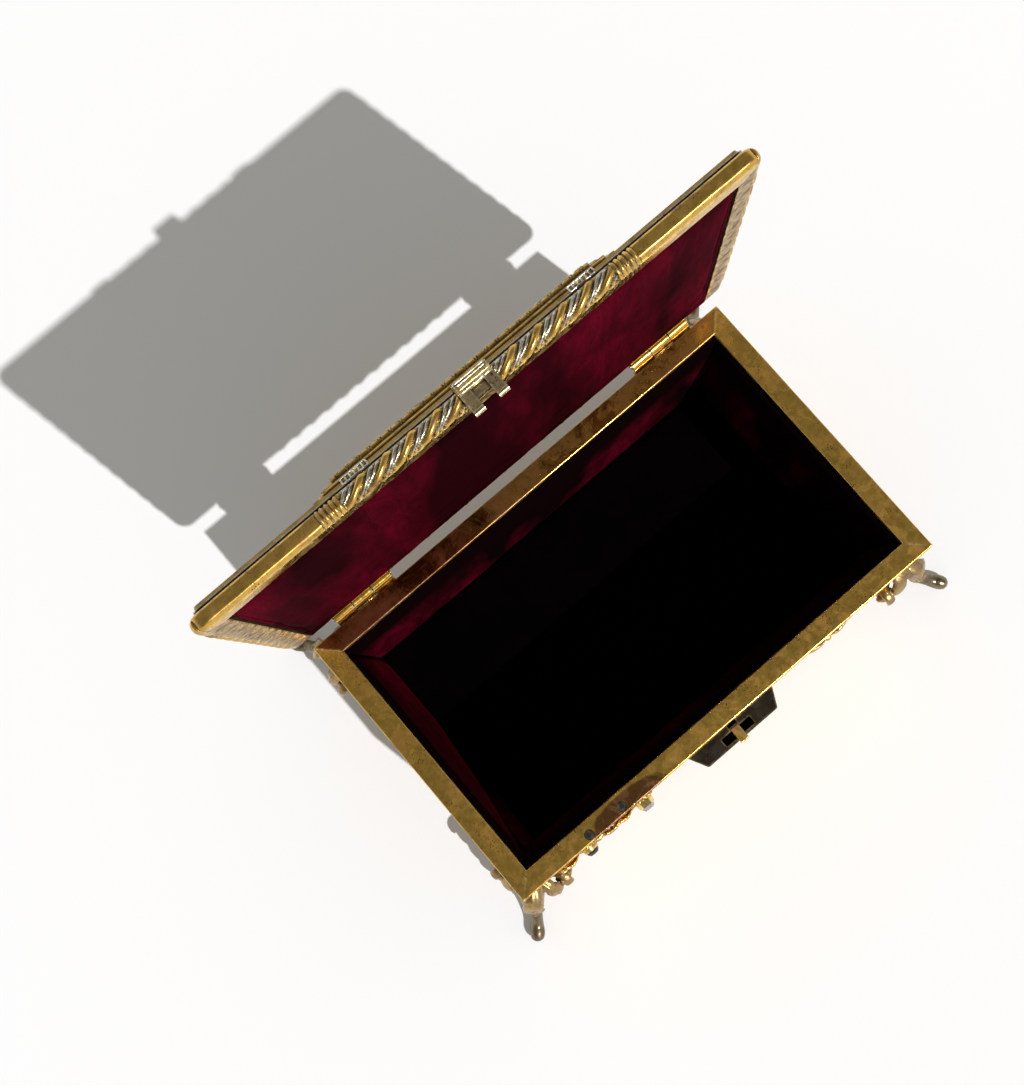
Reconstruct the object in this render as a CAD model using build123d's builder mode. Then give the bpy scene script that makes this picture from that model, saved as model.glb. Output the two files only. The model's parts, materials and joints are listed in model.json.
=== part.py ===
from build123d import *
import os

# A hinged casket of gilt brass on four cast scroll feet, lined with velvet.
# Millimetres. X runs to the right seen from the front, Y to the back, Z up.
# The origin lies on the floor under the middle of the body.
# Hidden shanks, their holes and the cast feet have few flat sides, to keep the model light.
# The lid stands open at rest, a quarter turn back from closed.

os.makedirs("parts", exist_ok=True)

# Body
body_length = 155.0
body_width = 94.0
rim_height = 79.0
foot_height = 15.0
wall_thickness = 1.8
rim_width = 6.3
rim_thickness = 1.6
rim_round = 0.5
flange_width = 4.5
flange_thickness = 2.2
base_step = 1.5
base_overhang = 2.2
upper_overhang = 1.1

# Velvet lining
lining_thickness = 2.8
lining_crown = 0.5
lining_roll = 1.4
floor_thickness = 2.0
soft_gap = 0.3

# Lid
lid_gap = 0.4
lid_end_overhang = 3.0
lid_front_overhang = 0.5
lid_rear_gap = 2.3
tray_thickness = 4.0
pocket_depth = 2.0
lid_rim_width = 5.3
lid_rear_lip = 0.8
flap_thickness = 0.6
pad_clearance = 0.1
pad_edge_share = 0.6
pad_roll = 1.25
pad_slope = 7.0
lid_corner = 2.5
moulding_height = 5.0
moulding_bulge = 1.9
moulding_lip = 2.0
panel_margin = 2.5
panel_height = 2.3
panel_shell = 1.1
plaque_end_margin = 35.5
plaque_margin = 4.0
plaque_step = 2.1
plaque_inset = 3.2
ring_band_inset = 2.5
ring_band_length = 6.5
ring_count = 5
groove_depth = 0.45

# Hinges
hinge_offset = 2.6
hinge_rise = 0.2
knuckle_radius = 2.0
knuckle_length = 6.7
knuckle_gap = 0.35
hinge_inset = 20.7
pin_radius = 0.8
pin_fit = 0.02
running_fit = 0.05
leaf_thickness = 1.2
leaf_depth = 12.0
tenon_thickness = 0.8
tenon_depth = 4.5
rivet_radius = 0.7
rivet_head = 1.3
rivet_taper = 38.0
rivet_drop = 7.2
pin_end = 0.4

# Lock, push piece and hasp
lock_back_length = 32.0
lock_front_length = 26.0
lock_depth = 5.8
lock_height = 22.0
lock_drop = 1.5
lock_wall = 0.8
prong_place = 3.4
prong_width = 2.8
prong_thickness = 1.2
prong_reach = 3.5
prong_out = 2.4
prong_roll = 0.8
slot_gap = 0.5
button_width = 2.8
button_rise = 0.6
button_height = 2.1
button_length = 5.1
button_out = 0.9
button_travel = 0.8
slide_gap = 0.15
bar_length = 12.0
bar_stop_gap = 0.35
bar_height = 1.4
bar_gap = 0.4
spring_thickness = 0.25
hasp_width = 9.8
hasp_plate = 1.9
hasp_ridges = (2.7, 3.6)
hasp_ridge_height = 1.5
hasp_rise = 0.6
hasp_fit = 0.05

# Feet
toe_splay = (14.0, 18.0)
toe_radius = 2.3
toe_neck_radius = 1.7
sole_gap = 0.2
sole_taper = 7.0
toe_taper = 30.0
knee_head_out = 1.5
knee_head_height = 31.0
knee_head_radius = 2.6
knee_out = 6.0
knee_height = 25.0
knee_radius = 4.2
shin_out = 9.0
shin_height = 16.0
shin_radius = 3.0
ankle_out = 12.0
ankle_height = 8.5
ankle_radius = 2.1
instep_out = 16.5
instep_height = 4.6
instep_radius = 1.9
ankle_ring = 0.45
apron_thickness = 3.4
apron_length = 14.0
apron_height = 18.0
volute_radius = 4.0
volute_out = 6.4
volute_rise = 7.0
volute_length = 5.0
volute_inset = 8.0
volute_sides = 16
foot_pad_thickness = 2.4
foot_pad_reach = 13.0
foot_screw_radius = 1.2
foot_screw_head = 2.2
foot_screw_inset = 6.0
shank_sides = 8
leg_sides = 8
round_sides = 12

# Mounts and stones on the front
ornament_drop = 13.0
collet_inset = 44.0
collet_radius = 2.9
collet_height = 2.2
cabochon_radius = 2.3
rosette_inset = 31.7
button_stone_inset = 23.2
stone_radius = 2.0
stone_height = 3.6
setting_wall = 0.6
mount_thickness = 1.2
mount_spine = 2.6
mount_left_length = 36.0
mount_right_inset = 38.5
mount_right_length = 12.0
leaf_inset = 16.0
leaf_length = 9.0
leaf_width = 3.6
leaf_lean = 38.0
leaf_rise = 1.4
leaf_edge = 0.7
mount_border = 1.0
rosette_taper = 30.0
rosette_radius = 1.9
rim_screw_insets = (26.3, 38.5)
rim_screw_depth = 2.2
rim_screw_head = 1.5
rim_screw_radius = 0.7

# Heights and reaches that follow from these sizes
half_length = body_length / 2
half_width = body_width / 2
base_top = foot_height + 2 * base_step
rim_under = rim_height - rim_thickness
flange_under = rim_under - flange_thickness
lining_back = flange_width + soft_gap
lining_front = lining_back + lining_thickness
lining_top = rim_under - soft_gap
hinge_y = half_width + hinge_offset
hinge_z = rim_height + hinge_rise
lid_inner = lid_gap - hinge_rise
lid_half_length = half_length + lid_end_overhang
lid_front = -(hinge_y + half_width + lid_front_overhang)
lid_back = -lid_rear_gap
lid_depth = lid_back - lid_front
lid_middle = (lid_front + lid_back) / 2
tray_top = lid_inner + tray_thickness
moulding_top = lid_inner + moulding_height
panel_top = tray_top + panel_height
lock_top = rim_height - lock_drop
rivet_height = rim_height - rivet_drop
hinge_span = 3 * knuckle_length + 2 * knuckle_gap
hinge_place = half_length - hinge_inset
plaque_length = 2 * (lid_half_length - plaque_end_margin)
ring_band_place = plaque_length / 2 - ring_band_inset
collet_place = collet_inset - half_length
rosette_place = rosette_inset - half_length
button_stone_place = button_stone_inset - half_length
leaf_place = leaf_inset - half_length
mount_right_place = half_length - mount_right_inset
rim_screw_places = [inset - half_length for inset in rim_screw_insets]
lock_bottom = lock_top - lock_height
ornament_height = rim_height - ornament_drop

# Each side of the body has a plane on its outer face: X along it, Y inward, Z up.
side_planes = {
    "front": Plane(origin=(0, -half_width, 0), x_dir=(1, 0, 0), z_dir=(0, 0, 1)),
    "right": Plane(origin=(half_length, 0, 0), x_dir=(0, 1, 0), z_dir=(0, 0, 1)),
    "back": Plane(origin=(0, half_width, 0), x_dir=(-1, 0, 0), z_dir=(0, 0, 1)),
    "left": Plane(origin=(-half_length, 0, 0), x_dir=(0, -1, 0), z_dir=(0, 0, 1)),
}
side_lengths = {"front": body_length, "right": body_width, "back": body_length, "left": body_width}

# On the front face: X to the right, Y up, Z out towards the viewer.
front_face = Plane(origin=(0, -half_width, 0), x_dir=(1, 0, 0), z_dir=(0, -1, 0))

# Lid sketches are drawn as on the closed lid, from the hinge axis: X to the right,
# Y to the back, Z up. The plane itself stands as the open lid does.
lid_plane = Plane(origin=(0, hinge_y, hinge_z), x_dir=(1, 0, 0), z_dir=(0, 1, 0))


def save(builder, name):
    builder.part.label = name
    export_step(builder.part, f"parts/{name}.step")


def mitred(length, width):
    """A strip along one side, cut at 45 degrees at both ends."""
    half = length / 2
    Polygon((-half, 0), (half, 0), (half - width, width), (-half + width, width), align=None)


# Base plate, in two moulded steps
with BuildPart() as base_plate:
    with BuildSketch(Plane.XY.offset(foot_height)):
        Rectangle(body_length + 2 * base_overhang, body_width + 2 * base_overhang)
    extrude(amount=base_step)
    chamfer(base_plate.faces().sort_by(Axis.Z)[-1].edges(), base_step / 2)
    with BuildSketch(Plane.XY.offset(foot_height + base_step)):
        Rectangle(body_length + 2 * upper_overhang, body_width + 2 * upper_overhang)
    extrude(amount=base_step)
    for x_side in (-1, 1):
        for y_side in (-1, 1):
            screw_x = x_side * (half_length - foot_screw_inset)
            screw_y = y_side * (half_width - foot_screw_inset)
            with BuildSketch(Plane.XY.offset(foot_height)):
                with Locations((screw_x, screw_y)):
                    RegularPolygon(foot_screw_radius + running_fit, shank_sides)
            extrude(amount=base_step + running_fit, mode=Mode.SUBTRACT)
save(base_plate, "base_plate")

# Walls with an inward flange at the head, and the flat rim strips on them
for side, plane in side_planes.items():
    with BuildPart() as wall:
        with BuildSketch(plane.offset(base_top)):
            mitred(side_lengths[side], wall_thickness)
        extrude(amount=rim_under - base_top)
        with BuildSketch(plane.offset(flange_under)):
            mitred(side_lengths[side], flange_width)
        extrude(amount=flange_thickness)
        if side == "front":
            for screw_x in rim_screw_places:
                with BuildSketch(plane.offset(rim_under)):
                    with Locations((screw_x, rim_screw_depth)):
                        RegularPolygon(rim_screw_radius + running_fit, shank_sides)
                extrude(amount=-flange_thickness, mode=Mode.SUBTRACT)
        if side == "back":
            for hinge_x in (-hinge_place, hinge_place):
                for step in (-1, 1):
                    with BuildSketch(front_face.offset(-body_width)):
                        rivet_x = hinge_x + step * (knuckle_length + knuckle_gap)
                        with Locations((rivet_x, rivet_height)):
                            RegularPolygon(rivet_radius + running_fit, shank_sides)
                    extrude(amount=wall_thickness, mode=Mode.SUBTRACT)
    save(wall, f"wall_{side}")

    with BuildPart() as rim:
        with BuildSketch(plane.offset(rim_under)):
            mitred(side_lengths[side], rim_width)
        extrude(amount=rim_thickness)
        long_edges = rim.faces().sort_by(Axis.Z)[-1].edges().sort_by(SortBy.LENGTH)[-2:]
        fillet(long_edges, rim_round)
        if side == "front":
            for screw_x in rim_screw_places:
                with Locations(plane * Location((screw_x, rim_screw_depth, rim_height))):
                    CounterSinkHole(
                        rim_screw_radius + running_fit, rim_screw_head + running_fit, rim_thickness
                    )
    save(rim, f"rim_{side}")

# Countersunk screws that hold the front rim down on its flange
with BuildPart() as rim_screws:
    for screw_x in rim_screw_places:
        with BuildSketch(Plane(origin=(screw_x, rim_screw_depth - half_width, rim_height - running_fit))):
            Circle(rim_screw_head - 2 * running_fit)
        extrude(amount=rim_screw_radius - rim_screw_head, taper=45)
        with BuildSketch(Plane(origin=(screw_x, rim_screw_depth - half_width, rim_height - running_fit))):
            RegularPolygon(rim_screw_radius, shank_sides)
        extrude(amount=2 * running_fit - rim_thickness - flange_thickness)
save(rim_screws, "rim_screws")

# Velvet boards that stand on the base inside the walls, with a rolled top edge
for side, plane in side_planes.items():
    if side in ("front", "back"):
        half_board = half_length - lining_back
    else:
        half_board = half_width - lining_front - lining_crown - soft_gap
    with BuildPart() as lining:
        section = Plane(origin=plane.origin, x_dir=plane.y_dir, z_dir=plane.x_dir)
        middle = (base_top + lining_top) / 2
        with BuildSketch(section):
            with BuildLine():
                Line((lining_back, base_top), (lining_front, base_top))
                ThreePointArc(
                    (lining_front, base_top),
                    (lining_front + lining_crown, middle),
                    (lining_front, lining_top - lining_roll),
                )
                ThreePointArc(
                    (lining_front, lining_top - lining_roll),
                    (lining_front - lining_roll * 0.3, lining_top - lining_roll * 0.3),
                    (lining_front - lining_roll, lining_top),
                )
                Line((lining_front - lining_roll, lining_top), (lining_back, lining_top))
                Line((lining_back, lining_top), (lining_back, base_top))
            make_face()
        extrude(amount=half_board, both=True)
    save(lining, f"lining_{side}")

with BuildPart() as lining_floor:
    clear = lining_front + lining_crown + soft_gap
    with BuildSketch(Plane.XY.offset(base_top)):
        Rectangle(body_length - 2 * clear, body_width - 2 * clear)
    extrude(amount=floor_thickness)
    fillet(lining_floor.faces().sort_by(Axis.Z)[-1].edges(), floor_thickness / 2)
save(lining_floor, "lining_floor")

# Lid tray: the flat inner rim and the back plate in one, with a pocket for the velvet
# and a shelf that its hinge edge laps over
with BuildPart() as lid_tray:
    with BuildSketch(lid_plane.offset(lid_inner)):
        with Locations((0, lid_middle)):
            RectangleRounded(2 * lid_half_length, lid_depth, lid_corner)
    extrude(amount=tray_thickness)
    with BuildSketch(lid_plane.offset(lid_inner)):
        with Locations((0, lid_middle)):
            Rectangle(2 * (lid_half_length - lid_rim_width), lid_depth - 2 * lid_rim_width)
    extrude(amount=pocket_depth, mode=Mode.SUBTRACT)
    shelf_depth = lid_rim_width - lid_rear_lip
    shelf_middle = lid_back - lid_rear_lip - shelf_depth / 2
    with BuildSketch(lid_plane.offset(lid_inner)):
        with Locations((0, shelf_middle)):
            Rectangle(2 * (lid_half_length - lid_rim_width), shelf_depth)
    extrude(amount=pad_clearance + flap_thickness, mode=Mode.SUBTRACT)
    tenon_low = knuckle_radius - tenon_thickness - running_fit
    for hinge_x in (-hinge_place, hinge_place):
        with BuildSketch(lid_plane.offset(tenon_low)):
            with Locations((hinge_x, lid_back - (tenon_depth + running_fit) / 2)):
                Rectangle(hinge_span + 2 * running_fit, tenon_depth + running_fit)
        extrude(amount=tenon_thickness + 2 * running_fit, mode=Mode.SUBTRACT)
save(lid_tray, "lid_tray")

# Velvet pad in the tray, drawn in at its edges and a little full in the middle, with a thin
# flap over the shelf on the hinge side
with BuildPart() as lid_lining:
    pad_length = 2 * (lid_half_length - lid_rim_width - soft_gap)
    pad_depth = lid_depth - 2 * (lid_rim_width + soft_gap)
    pad_back = lid_inner + pocket_depth
    pad_crown = lid_inner + pad_clearance
    pad_edge = pad_back - pocket_depth * pad_edge_share
    with BuildSketch(lid_plane.offset(pad_edge)):
        with Locations((0, lid_middle)):
            Rectangle(pad_length, pad_depth)
    extrude(amount=pad_back - pad_edge)
    with BuildSketch(lid_plane.offset(pad_edge)):
        with Locations((0, lid_middle)):
            Rectangle(pad_length, pad_depth)
    with BuildSketch(lid_plane.offset((pad_edge + pad_crown) / 2)):
        with Locations((0, lid_middle)):
            Rectangle(pad_length - 2 * pad_roll, pad_depth - 2 * pad_roll)
    with BuildSketch(lid_plane.offset(pad_crown)):
        with Locations((0, lid_middle)):
            Rectangle(pad_length - 2 * pad_slope, pad_depth - 2 * pad_slope)
    loft(ruled=True)
    flap_back = lid_back - lid_rear_lip - soft_gap
    flap_front = lid_middle + pad_depth / 2 - pad_slope
    with BuildSketch(lid_plane.offset(pad_crown)):
        with Locations((0, (flap_back + flap_front) / 2)):
            Rectangle(pad_length, flap_back - flap_front)
    extrude(amount=flap_thickness)
save(lid_lining, "lid_lining")

# Half-round moulding round the lid: one section, taken along each side and mitred
moulding_middle = lid_inner + moulding_height / 2
groove_floor = groove_depth - moulding_bulge
lid_sides = {
    "front": ((0, lid_front), (1, 0, 0), lid_half_length),
    "right": ((lid_half_length, lid_middle), (0, 0, -1), lid_depth / 2),
    "back": ((0, lid_back), (-1, 0, 0), lid_half_length),
    "left": ((-lid_half_length, lid_middle), (0, 0, 1), lid_depth / 2),
}
for side, (place, along, half) in lid_sides.items():
    origin = lid_plane.from_local_coords((place[0], place[1], 0))
    strip = Plane(origin=origin, x_dir=along, z_dir=lid_plane.z_dir)
    section = Plane(origin=origin, x_dir=strip.y_dir, z_dir=strip.x_dir)
    with BuildPart() as moulding:
        with BuildSketch(section):
            with BuildLine():
                Line((moulding_lip, tray_top), (0, tray_top))
                Line((0, tray_top), (0, lid_inner))
                ThreePointArc((0, lid_inner), (-moulding_bulge, moulding_middle), (0, moulding_top))
                Line((0, moulding_top), (moulding_lip, moulding_top))
                Line((moulding_lip, moulding_top), (moulding_lip, tray_top))
            make_face()
        extrude(amount=half + moulding_bulge, both=True)
        corner = half + moulding_bulge
        with BuildSketch(strip.offset(lid_inner)):
            with BuildLine():
                Polyline(
                    (-corner, -moulding_bulge),
                    (corner, -moulding_bulge),
                    (corner - moulding_bulge - moulding_lip, moulding_lip),
                    (-corner + moulding_bulge + moulding_lip, moulding_lip),
                    close=True,
                )
            make_face()
        extrude(amount=moulding_height, mode=Mode.INTERSECT)
        with BuildSketch(lid_plane.offset(lid_inner)):
            with Locations((0, lid_middle)):
                RectangleRounded(
                    2 * (lid_half_length + moulding_bulge),
                    lid_depth + 2 * moulding_bulge,
                    lid_corner + moulding_bulge,
                )
        extrude(amount=moulding_height, mode=Mode.INTERSECT)
        with BuildSketch(lid_plane.offset(lid_inner)):
            with Locations((0, lid_middle)):
                RectangleRounded(2 * lid_half_length, lid_depth, lid_corner)
        extrude(amount=tray_thickness, mode=Mode.SUBTRACT)
        if side == "front":
            with BuildSketch(lid_plane.offset(lid_inner)):
                with Locations((0, lid_front - moulding_bulge)):
                    Rectangle(hasp_width, 2 * moulding_bulge)
            extrude(amount=moulding_height, mode=Mode.SUBTRACT)
        if side == "back":
            for hinge_x in (-hinge_place, hinge_place):
                with BuildSketch(lid_plane.offset(lid_inner)):
                    with Locations((hinge_x, lid_back + moulding_bulge)):
                        Rectangle(hinge_span + 2 * knuckle_gap, 2 * moulding_bulge)
                extrude(amount=lid_rear_gap - lid_inner, mode=Mode.SUBTRACT)
        if side in ("front", "back"):
            for band_x in (-ring_band_place, ring_band_place):
                pitch = ring_band_length / ring_count
                for ring in range(ring_count + 1):
                    groove_x = band_x + (ring - ring_count / 2) * pitch
                    with BuildSketch(section.offset(groove_x)):
                        with BuildLine():
                            Polyline(
                                (0, lid_inner),
                                (groove_floor, moulding_middle - moulding_height / 4),
                                (groove_floor, moulding_middle + moulding_height / 4),
                                (0, moulding_top),
                                (-2 * moulding_bulge, moulding_top),
                                (-2 * moulding_bulge, lid_inner),
                                close=True,
                            )
                        make_face()
                    extrude(amount=groove_depth / 2, both=True, mode=Mode.SUBTRACT)
    save(moulding, f"moulding_{side}")

# Raised panel on the lid, with sloping edges
with BuildPart() as lid_panel:
    with BuildSketch(lid_plane.offset(tray_top)):
        with Locations((0, lid_middle)):
            Rectangle(2 * (lid_half_length - panel_margin), lid_depth - 2 * panel_margin)
    extrude(amount=panel_height)
    chamfer(lid_panel.faces().sort_by(Axis.Y)[-1].edges(), panel_height * 0.4)
    with BuildSketch(lid_plane.offset(tray_top)):
        with Locations((0, lid_middle)):
            Rectangle(
                2 * (lid_half_length - panel_margin - panel_shell) - panel_height,
                lid_depth - 2 * (panel_margin + panel_shell) - panel_height,
            )
    extrude(amount=panel_height - panel_shell, mode=Mode.SUBTRACT)
save(lid_panel, "lid_panel")

# Plaque in the middle of the panel: two steps with scooped corners
with BuildPart() as lid_plaque:
    plaque_depth = lid_depth - 2 * (panel_margin + plaque_margin)
    for step in range(2):
        step_length = plaque_length - 2 * step * plaque_inset
        step_depth = plaque_depth - 2 * step * plaque_inset
        with BuildSketch(lid_plane.offset(panel_top + step * plaque_step)):
            with Locations((0, lid_middle)):
                Rectangle(step_length, step_depth)
                with GridLocations(step_length, step_depth, 2, 2):
                    Circle(plaque_inset, mode=Mode.SUBTRACT)
        extrude(amount=plaque_step)
    chamfer(lid_plaque.faces().sort_by(Axis.Y)[-1].edges(), plaque_step * 0.3)
    hollow_inset = 2 * (plaque_inset + panel_shell) + 2 * plaque_inset
    with BuildSketch(lid_plane.offset(panel_top)):
        with Locations((0, lid_middle)):
            Rectangle(plaque_length - hollow_inset, plaque_depth - hollow_inset)
    extrude(amount=2 * plaque_step - panel_shell, mode=Mode.SUBTRACT)
save(lid_plaque, "lid_plaque")

# On the lid's section plane: X to the back of the closed lid, Y up, Z to the right.
lid_section = Plane(origin=(0, hinge_y, hinge_z), x_dir=(0, 0, -1), z_dir=(1, 0, 0))

# Forked hasp: a plate with two stepped ridges on the lid's front edge, and two prongs
with BuildPart() as hasp:
    half_hasp = hasp_width / 2 - hasp_fit
    hasp_top = moulding_top + hasp_rise
    with BuildSketch(lid_section):
        with BuildLine():
            Polyline(
                (lid_front, lid_inner),
                (lid_front - hasp_plate, lid_inner),
                (lid_front - hasp_plate, hasp_top - 2 * hasp_ridge_height),
                (lid_front - hasp_ridges[1], hasp_top - 2 * hasp_ridge_height),
                (lid_front - hasp_ridges[1], hasp_top - hasp_ridge_height),
                (lid_front - hasp_ridges[0], hasp_top - hasp_ridge_height),
                (lid_front - hasp_ridges[0], hasp_top),
                (lid_front, hasp_top),
                close=True,
            )
        make_face()
    extrude(amount=half_hasp, both=True)
    fillet(hasp.edges().filter_by(Axis.X).group_by(Axis.Z)[-1], hasp_ridge_height * 0.3)
    outer_edges = hasp.edges().filter_by(Axis.X).group_by(Axis.Y)[-1]
    fillet(outer_edges.sort_by(Axis.Z)[-1], hasp_ridge_height * 0.3)
    for prong_x in (-prong_place, prong_place):
        prong_front = lid_front - prong_out - prong_thickness
        roll_centre = (lid_front - prong_out - prong_thickness / 2, lid_inner - prong_reach + prong_roll)
        with BuildSketch(lid_section.offset(prong_x)):
            with BuildLine():
                Polyline(
                    (lid_front - prong_out, roll_centre[1]),
                    (prong_front, roll_centre[1]),
                    (prong_front, hasp_top - 2 * hasp_ridge_height + hasp_ridge_height / 2),
                    (lid_front - hasp_plate / 2, hasp_top - 2 * hasp_ridge_height + hasp_ridge_height / 2),
                    (lid_front - hasp_plate / 2, lid_inner),
                    (lid_front - prong_out, lid_inner),
                    close=True,
                )
            make_face()
            with Locations(roll_centre):
                Circle(prong_roll)
        extrude(amount=prong_width / 2, both=True)
save(hasp, "hasp")

# Hinges: two knuckles and a leaf on the body, one knuckle and a tenon on the lid
knuckle_step = knuckle_length + knuckle_gap
for name, hinge_x in (("left", -hinge_place), ("right", hinge_place)):
    barrel = Plane(origin=(hinge_x, hinge_y, hinge_z), x_dir=(0, 1, 0), z_dir=(1, 0, 0))
    leaf_bottom = rim_height - leaf_depth
    leaf_top = hinge_z - knuckle_radius - knuckle_gap
    with BuildPart() as body_leaf:
        with BuildSketch(Plane.XY.offset(leaf_bottom)):
            with Locations((hinge_x, half_width + leaf_thickness / 2)):
                Rectangle(hinge_span, leaf_thickness)
        extrude(amount=leaf_top - leaf_bottom)
        with BuildSketch(Plane.XY.offset(leaf_top)):
            for step in (-1, 1):
                with Locations((hinge_x + step * knuckle_step, half_width + leaf_thickness / 2)):
                    Rectangle(knuckle_length, leaf_thickness)
        extrude(amount=hinge_z - leaf_top)
        for step in (-1, 1):
            with BuildSketch(barrel.offset(step * knuckle_step)):
                Circle(knuckle_radius)
            extrude(amount=knuckle_length / 2, both=True)
        with BuildSketch(barrel):
            Circle(pin_radius + pin_fit)
        extrude(amount=hinge_span, both=True, mode=Mode.SUBTRACT)
        for step in (-1, 1):
            with BuildSketch(front_face.offset(-body_width)):
                with Locations((hinge_x + step * knuckle_step, rivet_height)):
                    RegularPolygon(rivet_radius + running_fit, shank_sides)
            extrude(amount=-leaf_thickness, mode=Mode.SUBTRACT)
    save(body_leaf, f"hinge_leaf_body_{name}")

    with BuildPart() as lid_leaf:
        with BuildSketch(barrel):
            Circle(knuckle_radius)
        extrude(amount=knuckle_length / 2, both=True)
        with BuildSketch(lid_plane.offset(tenon_low + running_fit)):
            with Locations((hinge_x, lid_back / 2)):
                Rectangle(knuckle_length, -lid_back)
            with Locations((hinge_x, lid_back - tenon_depth / 2)):
                Rectangle(hinge_span, tenon_depth)
        extrude(amount=tenon_thickness)
        with BuildSketch(barrel):
            Circle(pin_radius + running_fit)
        extrude(amount=hinge_span, both=True, mode=Mode.SUBTRACT)
    save(lid_leaf, f"hinge_leaf_lid_{name}")

    with BuildPart() as pin:
        with BuildSketch(barrel):
            Circle(pin_radius)
        extrude(amount=hinge_span / 2 + pin_end, both=True)
    save(pin, f"hinge_pin_{name}")

# Rivets that hold the body leaves on the back wall, with low domed heads
with BuildPart() as hinge_rivets:
    for hinge_x in (-hinge_place, hinge_place):
        for step in (-1, 1):
            rivet_x = hinge_x + step * knuckle_step
            with BuildSketch(front_face.offset(-body_width + wall_thickness)):
                with Locations((rivet_x, rivet_height)):
                    RegularPolygon(rivet_radius, shank_sides)
            extrude(amount=-wall_thickness - leaf_thickness)
            with BuildSketch(front_face.offset(-body_width - leaf_thickness)):
                with Locations((rivet_x, rivet_height)):
                    RegularPolygon(rivet_head, round_sides)
            extrude(amount=-rivet_head / 2, taper=rivet_taper)
save(hinge_rivets, "hinge_rivets")

# Lock case: a hollow trapezium on the front, slotted for the prongs and the push piece
case_front = half_width + lock_depth
prong_middle = half_width + lid_front_overhang + prong_out + prong_thickness / 2
with BuildPart() as lock_case:
    with BuildSketch(Plane.XY.offset(lock_bottom)):
        Polygon(
            (-lock_back_length / 2, -half_width),
            (-lock_front_length / 2, -case_front),
            (lock_front_length / 2, -case_front),
            (lock_back_length / 2, -half_width),
            align=None,
        )
    extrude(amount=lock_height)
    upright = lock_case.edges().filter_by(Axis.Z).group_by(Axis.Y)[0]
    fillet(upright, lock_wall)
    chamfer(lock_case.faces().sort_by(Axis.Z)[-1].edges().sort_by(Axis.Y)[0], lock_wall * 0.4)
    with BuildSketch(Plane.XY.offset(lock_bottom + lock_wall)):
        Polygon(
            (-lock_back_length / 2 + 2 * lock_wall, -half_width),
            (-lock_front_length / 2 + 2 * lock_wall, -case_front + lock_wall),
            (lock_front_length / 2 - 2 * lock_wall, -case_front + lock_wall),
            (lock_back_length / 2 - 2 * lock_wall, -half_width),
            align=None,
        )
    extrude(amount=lock_height - 2 * lock_wall, mode=Mode.SUBTRACT)
    with BuildSketch(Plane.XY.offset(lock_top)):
        with Locations((-prong_place, -prong_middle), (prong_place, -prong_middle)):
            Rectangle(prong_width + 2 * slot_gap, 2 * (prong_roll + slot_gap))
    extrude(amount=-2 * lock_wall, mode=Mode.SUBTRACT)
    with BuildSketch(Plane.XY.offset(lock_top)):
        with Locations((0, -half_width - lock_depth / 2)):
            Rectangle(button_width + 2 * slide_gap, lock_depth)
    extrude(amount=-(button_height - button_rise + slide_gap), mode=Mode.SUBTRACT)
save(lock_case, "lock_case")

# Push piece, the latch bar that it carries, and the spring behind the bar
button_top = lock_top + button_rise
with BuildPart() as lock_button:
    with BuildSketch(Plane.XY.offset(button_top)):
        with Locations((0, -case_front - button_out + button_length / 2)):
            Rectangle(button_width, button_length)
    extrude(amount=-button_height)
    fillet(lock_button.faces().sort_by(Axis.Z)[-1].edges(), button_rise * 0.6)
save(lock_button, "lock_button")

with BuildPart() as latch_bar:
    bar_front = prong_middle - prong_roll - bar_gap
    bar_depth = bar_front - half_width - spring_thickness - button_travel - bar_stop_gap
    with BuildSketch(Plane.XY.offset(button_top - button_height)):
        with Locations((0, -bar_front + bar_depth / 2)):
            Rectangle(bar_length, bar_depth)
    extrude(amount=-bar_height)
    chamfer(latch_bar.edges().filter_by(Axis.X).group_by(Axis.Z)[-1].sort_by(Axis.Y)[0], bar_depth * 0.3)
save(latch_bar, "latch_bar")

with BuildPart() as latch_spring:
    with BuildSketch(Plane.XY.offset(button_top - button_height)):
        with Locations((0, -half_width - spring_thickness / 2)):
            Rectangle(bar_length * 0.8, spring_thickness)
    extrude(amount=-bar_height * 0.8)
save(latch_spring, "latch_spring")

# Cast mounts on the front, either side of the lock
def pointed_leaf(place, lean, length, width):
    """A leaf outline pointed at both ends, on the mounts' middle line."""
    with Locations(Location((place, ornament_height, 0), (0, 0, lean))):
        with BuildSketch(mode=Mode.PRIVATE) as leaf:
            with BuildLine():
                ThreePointArc((-length / 2, 0), (0, width / 2), (length / 2, 0))
                ThreePointArc((length / 2, 0), (0, -width / 2), (-length / 2, 0))
            make_face()
        add(leaf.sketch)


with BuildPart() as front_mount_left:
    with BuildSketch(front_face):
        with Locations((rosette_place, ornament_height)):
            SlotOverall(mount_left_length, mount_spine)
        with Locations((collet_place, ornament_height)):
            Circle(collet_radius + mount_border)
        with Locations((rosette_place, ornament_height)):
            RegularPolygon(rosette_radius + mount_border, 8)
        with Locations((button_stone_place, ornament_height)):
            Circle(stone_radius + mount_border)
        for lean in (-leaf_lean, 0, leaf_lean):
            pointed_leaf(leaf_place, lean, leaf_length, leaf_width)
    extrude(amount=mount_thickness)
    for lean in (-leaf_lean, 0, leaf_lean):
        with BuildSketch(front_face.offset(mount_thickness)):
            pointed_leaf(leaf_place, lean, leaf_length - 2 * leaf_edge, leaf_width - leaf_edge)
        extrude(amount=leaf_rise / 2)
    with BuildSketch(front_face.offset(mount_thickness)):
        with Locations((rosette_place, ornament_height)):
            RegularPolygon(rosette_radius, 8)
    extrude(amount=leaf_rise, taper=rosette_taper)
save(front_mount_left, "front_mount_left")

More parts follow.
